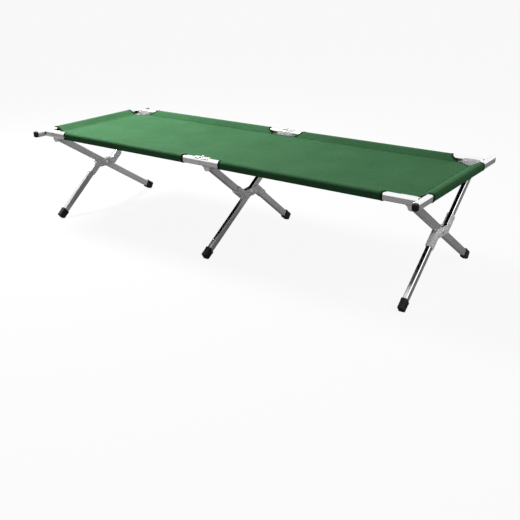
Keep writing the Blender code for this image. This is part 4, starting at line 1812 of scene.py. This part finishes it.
@dataclass
class Cloth:
    """The deck between the rails, the sleeves round them and the hems round the end bars."""

    shop: Workshop
    thickness: float = 1.2
    sleeve_wall: float = 1.5
    sleeve_start: float = 90.0
    sleeve_end: float = 790.0
    notch_run: float = 52.0
    notch_depth: float = 34.0
    notch_centre: float = 12.0
    seam_y: float = 273.0
    deck_z: float = 404.0
    deck_end: float = 889.0
    sag: float = 8.0
    sag_start: float = 640.0
    ripple: float = 1.6
    wave: float = 2.2
    taper_start: float = 825.0
    hem_end: float = 242.0
    hem_seam: float = 890.0
    hem_tail: float = 18.0
    hem_split: float = -6.0
    tail_past: float = 1.5
    tail_edge: float = 0.3
    tip_gap: float = 3.0
    tape: float = 8.0
    tape_thickness: float = 2.8
    tape_past: float = 0.9
    tape_clear: float = 0.1
    tape_edges: Point = (0.3, 0.4)
    tape_rise: float = 0.8
    tape_bevel: float = 0.6
    tape_inside: float = 0.3
    tape_seam: float = 2.0
    tape_lap: float = 2.0
    tape_in: float = 2.6
    tape_step: float = 4.0
    sleeve_sink: float = 0.5
    hem_sink: float = 0.4
    welt: Point = (3.2, 1.8)
    welt_out: float = 0.6
    welt_up: float = 1.5
    deck_thread: float = 0.25
    hem_thread: float = 0.3
    sleeve_thread: float = 0.85
    deck_rows: Sequence[float] = (3.5, 8.5)
    hem_rows: Sequence[float] = (3.0, 8.0)
    hem_margin: float = 4.0
    sleeve_loose: Point = (6.0, 22.0)
    hem_loose: Point = (8.0, 12.0)
    hem_held: float = 10.0
    sleeve_wrinkles: Sequence[Wrinkle] = (
        Wrinkle((0.035, 0.02, 0.02), height=0.9, seed=3),
        Wrinkle((0.11, 0.05, 0.05), height=0.35, seed=7),
    )
    hem_wrinkles: Sequence[Wrinkle] = (
        Wrinkle((0.03, 0.02, 0.02), height=0.9, seed=5),
        Wrinkle((0.06, 0.09, 0.05), height=0.3, seed=9),
    )
    crease: float = 50.0
    tape_crease: float = 40.0
    deck_grid: tuple[int, int] = (150, 90)
    deck_row_steps: int = 140
    hem_row_steps: int = 90
    sleeve_rings: int = 130
    hem_rings: int = 80
    seam_points: int = 60
    edge_gap: float = 0.3
    closed_share: float = 0.1328
    around: int = 72
    back_shares: Sequence[float] = (1.0, 0.75, 0.5, 0.25, 0.0)

    def build(self) -> None:
        """Makes the deck, the sleeves, the hems, their tapes and their stitches."""
        for half in Half:
            deck, trims = self.deck(half), self.deck_trims(half)
            for side in Side:
                self.sleeve(side, half)
            self.hem(half)

    def closing(self, obj: Piece) -> Piece:
        """Gives a soft piece its own copy of its mesh."""
        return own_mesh(obj)

    def deck_edge(self, x: float) -> float:
        """Finds how far the deck reaches from the midline.

        Args:
            x: The distance from the middle of the bed.

        Returns:
            The reach.
        """
        ease = smooth((x - self.taper_start) / (self.hem_seam - self.taper_start))
        full = self.seam_y - self.edge_gap
        return full + (self.hem_end - full) * ease

    def deck_top(self, x: float, y: float) -> float:
        """Finds the height of the deck's upper face, without its ripples.

        Args:
            x: The distance from the middle of the bed.
            y: The distance from the midline.

        Returns:
            The height.
        """
        across = 1 - (y / self.seam_y) ** 2
        span = (abs(x) - self.sag_start) / (self.hem_seam - self.sag_start)
        return self.deck_z + self.thickness - self.sag * across * (1 - smooth(span))

    def deck(self, half: Half) -> Piece:
        """Makes one half of the deck and hangs it between its seams.

        Args:
            half: The half of the bed.

        Returns:
            The deck, green above and darkened below as painted shade.
        """
        hx, middle = half.value, self.deck_z + self.thickness / 2
        columns, across = self.deck_grid
        rows = []
        for x in spread(0, self.deck_end, columns)[::hx]:
            reach = self.deck_edge(x)
            rows.append([Vector((hx * x, y, middle)) for y in spread(-reach, reach, across)])
        solid = Solid()
        solid.grid(rows)
        deck = solid.finish(f"deck_{half.label}", self.crease)
        if deck.data.polygons[0].normal.z < 0:
            deck.data.flip_normals()
        sizes = {
            "Half Width": self.seam_y,
            "Sag": self.sag,
            "Sag Start": self.sag_start,
            "Sag End": self.hem_seam,
            "Midline": SHIFT_Y,
            "Ripple": self.ripple,
            "Wave": self.wave,
        }
        # The deck's underside and rims take the painted shade copy of the cloth.
        green, dark = (self.shop.materials[name] for name in ("green_cloth", "dark_coated_back"))
        self.shop.recipes["sag"].apply(deck, green, {k: v * MM for k, v in sizes.items()})
        shell = deck.modifiers.new("thickness", "SOLIDIFY")
        shell.thickness, shell.offset, shell.material_offset = self.thickness * MM, 0, 1
        deck.data.materials.append(dark)
        baked(deck)
        deck.data.set_sharp_from_angle(angle=math.radians(self.crease))
        body, node = f"front_{half.label}", f"deck_cloth_{half.label}"
        self.shop.fit(deck, "green_cloth", body, node).data.materials.append(dark)
        return self.closing(deck)

    def deck_trims(self, half: Half) -> list[Piece]:
        """Makes the tapes on the deck's bare edges and the rows of stitches beside its seams.

        Args:
            half: The half of the bed.

        Returns:
            The tapes and the stitches.
        """
        hx, lap, body = half.value, self.tape_lap, f"front_{half.label}"
        first = self.notch_x(self.seam_y - self.shop.sizes.rail_y) + lap
        last = self.sleeve_end + self.sleeve_start - first + lap
        bare = ((0.0, first), (last - lap, self.hem_seam - lap))
        middle = self.deck_z + self.thickness / 2
        edges, rows = [], []
        for sy in (side.value for side in Side):
            for start, end in bare:
                xs = spread(start, end, int((end - start) / self.tape_step))
                path = [(x, self.deck_edge(x) - self.tape_in) for x in xs]
                edges.append([Vector((hx * x, sy * y, middle)) for x, y in path])
            for inward in self.deck_rows:
                xs = spread(first + self.tape, last - self.tape, self.deck_row_steps)
                path = [(x, self.deck_edge(x) - inward) for x in xs]
                tops = [self.deck_top(x, y) + self.deck_thread for x, y in path]
                rows.append([Vector((hx * x, sy * y, z)) for (x, y), z in zip(path, tops)])
        # The deck's edge tapes take the darker green, painted shade of a rolled edge.
        tape = self.shop.path_mesh(f"deck_tape_{half.label}", edges)
        sizes = {"Width": self.tape, "Thickness": self.tape_thickness}
        self.shop.follow(tape, "tape", "green_tape", body, **sizes)
        stitches = self.shop.stitches(f"deck_stitches_{half.label}", rows, body)
        return [self.closing(tape), self.closing(stitches)]

    def notch_x(self, outward: float) -> float:
        """Finds where a sleeve's curved end starts.

        Args:
            outward: The distance outward from the rail's middle.

        Returns:
            The distance from the middle of the bed.
        """
        share = (self.notch_centre - outward) / (self.notch_centre + self.notch_depth)
        share = min(max(share, 0.0), 1.0)
        run = self.notch_run * math.sqrt(1 - share * share)
        return self.sleeve_start - self.notch_run + run

    def tape_profile(self, off: float, sink: float) -> Outline:
        """Draws a binding tape over an end of cloth.

        Args:
            off: How far the cloth's outer face is from the rail or bar.
            sink: How deep the tape's lap sinks into the cloth.

        Returns:
            The (inward, off) points of its section.
        """
        past, far, bevel = -self.tape_past, self.tape, self.tape_bevel
        bare, low = self.shop.sizes.gap + self.tape_clear, off - sink
        first, last, high = (off + step for step in (*self.tape_edges, self.tape_rise))
        profile = [(past, bare), (past, first), (past + bevel, high), (far - bevel, high)]
        profile += [(far, last), (far, low)]
        return profile + [(self.tape_inside, low), (self.tape_inside, bare)]

    def sleeve_section(self, off: float, count: int) -> Outline:
        """Outlines a sleeve at a distance off the rail, from the seam's tip round and back.

        Args:
            off: The distance from the rail's surface.
            count: How many points to give.

        Returns:
            The (outward, up) points about the rail's middle.
        """
        bed = self.shop.sizes
        box = rounded_box(bed.rail_width, bed.rail_height, bed.rail_corner, off)
        level = self.deck_z + self.thickness / 2 - bed.rail_z
        tip = self.seam_y - bed.rail_y
        proud = off - bed.gap - self.sleeve_wall
        if proud < -self.sleeve_wall / 2:
            ends = [(tip + self.tip_gap, level)]
        else:
            wide = self.sleeve_wall + proud
            ends = [(tip - proud, level - wide), (tip - proud, level + wide)]
        points = hull([*box, *ends])
        return resampled(points, count, points.index(ends[0]))

    def sleeve(self, side: Side, half: Half) -> None:
        """Makes the sleeve round one rail half, with its end tapes and seam stitches.

        Args:
            side: The rail.
            half: The half of the rail.
        """
        bed, sy, hx = self.shop.sizes, side.value, half.value
        body = f"{side.label}_{half.label}"
        proud, total = bed.gap + self.sleeve_wall, self.sleeve_start + self.sleeve_end
        outer, inner = (self.sleeve_section(off, self.around) for off in (proud, bed.gap))
        split, wrinkles = self.deck_z - bed.rail_z, self.sleeve_wrinkles
        held, loose = self.sleeve_loose

        def at(a: float, b: float, x: float) -> Vector:
            """Places a point of the section along the rail."""
            return Vector((hx * x, sy * (bed.rail_y + a), bed.rail_z + b))

        def run(a: float, share: float) -> float:
            """Finds x at a share of the sleeve's length."""
            start = self.notch_x(a)
            return start + (total - 2 * start) * share

        def pulled(a: float, b: float, x: float) -> Vector:
            """Places a point of the outside, with wrinkles where the cloth spans freely."""
            push = smooth((-a - held) / loose) * sum(w.push((x, a, b), sy, hx) for w in wrinkles)
            return at(a, b + (push if b > split else -push), x)

        shares = spread(0, 1, self.sleeve_rings)
        rings = [[pulled(a, b, run(a, share)) for a, b in outer] for share in shares]
        rings += [[at(a, b, run(a, share)) for a, b in inner] for share in self.back_shares]
        solid = Solid()
        solid.loft(rings, closed=True)
        name, node = f"{body}_cloth_sleeve", f"{side.label}_sleeve_{half.label}"
        sleeve = self.shop.make(solid, name, "green_cloth", body, node, angle=self.crease)

        ends = ((1, 0.0), (-1, total))
        profile = self.tape_profile(proud, self.sleeve_sink)
        sections = [(dx, self.sleeve_section(off, self.around)) for dx, off in profile]
        # The sleeve's end tapes take the darker green, painted shade of a rolled edge.
        tapes = Solid()
        for sign, base in ends:
            rings = [
                [at(a, b, base + sign * (self.notch_x(a) + dx)) for a, b in section]
                for dx, section in sections
            ]
            tapes.loft(rings, closed=True)
        name, angle = f"{body}_sleeve_tapes", self.tape_crease
        tape = self.shop.make(tapes, name, "green_tape", body, angle=angle)
        seam = self.sleeve_section(proud + self.sleeve_thread, self.seam_points)[2:-2]
        back = self.tape - self.tape_seam
        rows = [
            [at(a, b, base + sign * (self.notch_x(a) + back)) for a, b in seam]
            for sign, base in ends
        ]
        stitches = self.shop.stitches(f"{body}_sleeve_stitches", rows, body)
        flat = (girth(outer), self.sleeve_end - self.sleeve_start + 2 * self.notch_run)

    def hem_section(self, off: float) -> Outline:
        """Outlines a hem at a distance off its bar, evenly from the end of its tail.

        Args:
            off: The distance from the bar's surface.

        Returns:
            The (outward, up) points about the bar's middle.
        """
        bed = self.shop.sizes
        box = rounded_box(bed.bar_depth, bed.bar_height, bed.bar_corner, off)
        seam = self.hem_seam - bed.bar_x
        middle = self.deck_z - bed.gap - self.thickness - bed.rail_z
        proud = off - bed.gap - self.thickness
        if off < bed.gap + self.thickness / 2:
            ends = [(seam + self.tip_gap, middle)]
        else:
            high = self.deck_z + self.thickness - bed.rail_z + proud
            ends = [(seam - proud, middle - self.thickness - proud), (seam - proud, high)]
        points = hull([*box, *ends])
        return resampled(points, self.around, points.index(min(points)))

    def hem(self, half: Half) -> None:
        """Makes the hem round one end bar, with its tail under the deck, tapes and stitches.

        Args:
            half: The end of the bed.
        """
        bed, hx = self.shop.sizes, half.value
        body, end = f"end_bar_{half.label}", half.label
        off, seam = bed.gap + self.thickness, self.hem_seam - bed.bar_x
        reach, inner_x = self.hem_end, self.hem_seam - self.hem_tail
        (held, loose), split, wrinkles = self.hem_loose, self.hem_split, self.hem_wrinkles

        def at(a: float, b: float, y: float) -> Vector:
            """Places a point of the section across the bed."""
            return Vector((hx * (bed.bar_x + a), y, bed.rail_z + b))

        def free(a: float) -> float:
            """Finds how freely the cloth spans at a distance outward."""
            return smooth((-a - held) / loose) * smooth((a - seam) / self.hem_held)

        def pulled(a: float, b: float, y: float) -> Vector:
            """Places a point of the outside, with wrinkles where the cloth spans freely."""
            push = free(a) * sum(w.push((a, y, b), 1, hx) for w in wrinkles)
            return at(a, b + (push if b > split else -push), y)

        outer, inner = self.hem_section(off), self.hem_section(bed.gap)
        ys = spread(-reach, reach, self.hem_rings)
        rings = [[pulled(a, b, y) for a, b in outer] for y in ys]
        ys = [reach * (2 * share - 1) for share in self.back_shares]
        rings += [[at(a, b, y) for a, b in inner] for y in ys]
        solid = Solid()
        solid.loft(rings, closed=True)
        top = self.deck_z - bed.gap
        low = top - 2 * self.thickness
        tail = rectangle(hx * inner_x, hx * (self.hem_seam + self.tail_past), low, top)
        place = frame_of((0, 0, 0), (1, 0, 0), (0, 0, 1))
        solid.plate(tail, -reach, reach, place, self.tail_edge)
        name, node, angle = f"end_hem_cloth_{end}", f"end_hem_{end}", self.crease
        hem = self.shop.make(solid, name, "green_cloth", body, node, angle=angle)

        profile = self.tape_profile(off, self.hem_sink)
        sections = [(dy, self.hem_section(distance)) for dy, distance in profile]
        # The hem's end tapes take the darker green, painted shade of a rolled edge.
        tapes = Solid()
        for sy in (side.value for side in Side):
            rings = [[at(a, b, sy * (reach - dy)) for a, b in points] for dy, points in sections]
            tapes.loft(rings, closed=True)
        name, angle = f"end_hem_tapes_{end}", self.tape_crease
        tape = self.shop.make(tapes, name, "green_tape", body, angle=angle)
        ys = spread(self.hem_margin - reach, reach - self.hem_margin, self.hem_row_steps)
        rows = [
            [Vector((hx * x, y, self.deck_top(x, y) + self.hem_thread)) for y in ys]
            for x in (self.hem_seam - inward for inward in self.hem_rows)
        ]
        stitches = self.shop.stitches(f"end_hem_stitches_{end}", rows, body)
        out, up = hx * (self.hem_seam + self.welt_out), self.deck_z + self.welt_up
        path = [Vector((out, y, up)) for y in ys]
        welt = self.shop.path_mesh(f"end_hem_welt_{end}", [path])
        sizes = {"Width": self.welt[0], "Thickness": self.welt[1]}
        # The welt takes the paler green, a painted highlight along the crease.
        self.shop.follow(welt, "tape", "pale_welt", body, **sizes)
        flat = (2 * reach, girth(outer) + 2 * self.hem_tail)
        for piece in (hem, tape, stitches, welt):
            self.closing(piece)


@dataclass
class Leftovers:
    """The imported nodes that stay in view, with their finishes."""

    shop: Workshop
    nodes: dict[str, Piece]

    def build(self) -> None:
        """Finishes the rails' plugs and the hinges' pins."""
        for name, obj in self.nodes.items():
            if obj.hide_render:
                continue
            finish = "zinc_plate" if "pin" in name else "black_rubber_cap"
            obj.data.materials.clear()
            obj.data.materials.append(self.shop.materials[finish])
            LOG.info("%s keeps its packed shape, with the finish %s", name, finish)


@dataclass
class Studio:
    """The floor, the world, the lamps and the camera."""

    floor_size: float = 40.0
    floor_keep: float = 0.08
    mirror_keep: float = 0.88
    floor_bounce: float = 0.18
    floor_tone: float = 0.9
    ambient: float = 0.15
    key_power: float = 83.0
    key_size: float = 1.0
    key_from: Sequence[float] = (-1.7, 0.1, 2.2)
    key_aim: Sequence[float] = (-0.6, 0.0, 0.4)
    sun_strength: float = 0.68
    sun_spread: float = 40.0
    sun_from: Sequence[float] = (1.0, 0.2, 1.0)
    eye: Sequence[float] = (1.8231, -2.49055, 1.1574)
    yaw: float = 35.311
    pitch: float = 22.419
    roll: float = -0.239
    lens: float = 51.003
    sensor: float = 36.0

    def build(self) -> None:
        """Makes everything round the bed."""
        self.world()
        self.floor()
        ray = Vector(self.key_from) - Vector(self.key_aim)
        key = self.lamp("key", "AREA", self.key_power, ray)
        key.location = self.key_from
        key.data.shape, key.data.size = "DISK", self.key_size
        sun = self.lamp("sun", "SUN", self.sun_strength, Vector(self.sun_from))
        sun.data.angle = math.radians(self.sun_spread)
        self.camera()
        bpy.context.scene.view_settings.view_transform = "Standard"

    @staticmethod
    def lamp(name: str, kind: str, power: float, ray: Vector) -> Piece:
        """Makes a lamp that shines from the way of a ray.

        Args:
            name: The lamp's name.
            kind: Its type.
            power: Its strength.
            ray: The way from what it lights to the lamp.

        Returns:
            The lamp.
        """
        data = bpy.data.lights.new(name, kind)
        data.energy = power
        lamp = linked(name, data)
        lamp.rotation_euler = ray.to_track_quat("Z", "Y").to_euler()
        return lamp

    @staticmethod
    def rays(graph: Graph, *kinds: str) -> Wire:
        """Adds a switch that is 1 for rays of the named kinds."""
        first, *others = (graph.node("ShaderNodeLightPath", out=f"Is {k} Ray") for k in kinds)
        return sum(others, first).math("MINIMUM", 1.0)

    def world(self) -> None:
        """Makes a white world that lights the bed softly, and is white where it is seen."""
        world = bpy.data.worlds.new("white_room")
        world.use_nodes = True
        bpy.context.scene.world = world
        graph = Graph(world.node_tree)
        seen = self.rays(graph, "Camera", "Glossy", "Transmission")
        inputs = {"Color": grey(1.0), "Strength": self.ambient + seen * (1 - self.ambient)}
        sky = graph.node("ShaderNodeBackground", inputs)
        graph.node("ShaderNodeOutputWorld", {"Surface": sky})

    def floor(self) -> None:
        """Makes a pale floor that keeps the bed's soft shadow."""
        half = self.floor_size / 2
        data = bpy.data.meshes.new("floor")
        corners = [(x, y, 0) for x, y in rectangle(-half, half, -half, half)]
        data.from_pydata(corners, [], [(0, 1, 2, 3)])
        shade = Shade("white_floor")
        camera, gloss = self.rays(shade, "Camera"), self.rays(shade, "Glossy", "Transmission")
        tone = shade.mix(camera, grey(self.floor_bounce), grey(self.floor_tone))
        soft = shade.node("ShaderNodeBsdfDiffuse", {"Color": tone, "Roughness": 0.0})
        glow = shade.node("ShaderNodeEmission", {"Color": grey(1.0), "Strength": 1.0})
        share = camera * (1 - self.floor_keep) + gloss * (1 - self.mirror_keep)
        mixed = shade.node("ShaderNodeMixShader", {0: share, 1: soft, 2: glow})
        shade.node("ShaderNodeOutputMaterial", {"Surface": mixed})
        data.materials.append(shade.material)
        linked("floor", data)

    def camera(self) -> None:
        """Sets the camera where the photograph was taken from."""
        yaw, pitch, roll = (math.radians(a) for a in (self.yaw, self.pitch, self.roll))
        flat = math.cos(pitch)
        ahead = Vector((-math.sin(yaw) * flat, math.cos(yaw) * flat, -math.sin(pitch)))
        level = ahead.cross(Vector((0, 0, 1))).normalized()
        up = level.cross(ahead)
        right = level * math.cos(roll) + up * math.sin(roll)
        high = up * math.cos(roll) - level * math.sin(roll)
        turned = Matrix((right, high, -ahead)).transposed().to_4x4()
        data = bpy.data.cameras.new("camera")
        data.lens, data.sensor_width = self.lens, self.sensor
        camera = linked("camera", data)
        camera.matrix_world = Matrix.Translation(self.eye) @ turned
        bpy.context.scene.camera = camera


def main() -> None:
    """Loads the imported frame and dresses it."""
    logging.basicConfig(level=logging.INFO, format="%(name)s: %(message)s")
    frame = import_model()
    shop = Workshop()
    shop.prepare()
    for builder in (Rails(shop), Hinges(shop), EndBars(shop), Scissors(shop), Cloth(shop)):
        builder.build()
    Leftovers(shop, frame["nodes"]).build()
    Studio().build()
    LOG.info("%d pieces made", shop.made)


if __name__ == "__main__":
    main()
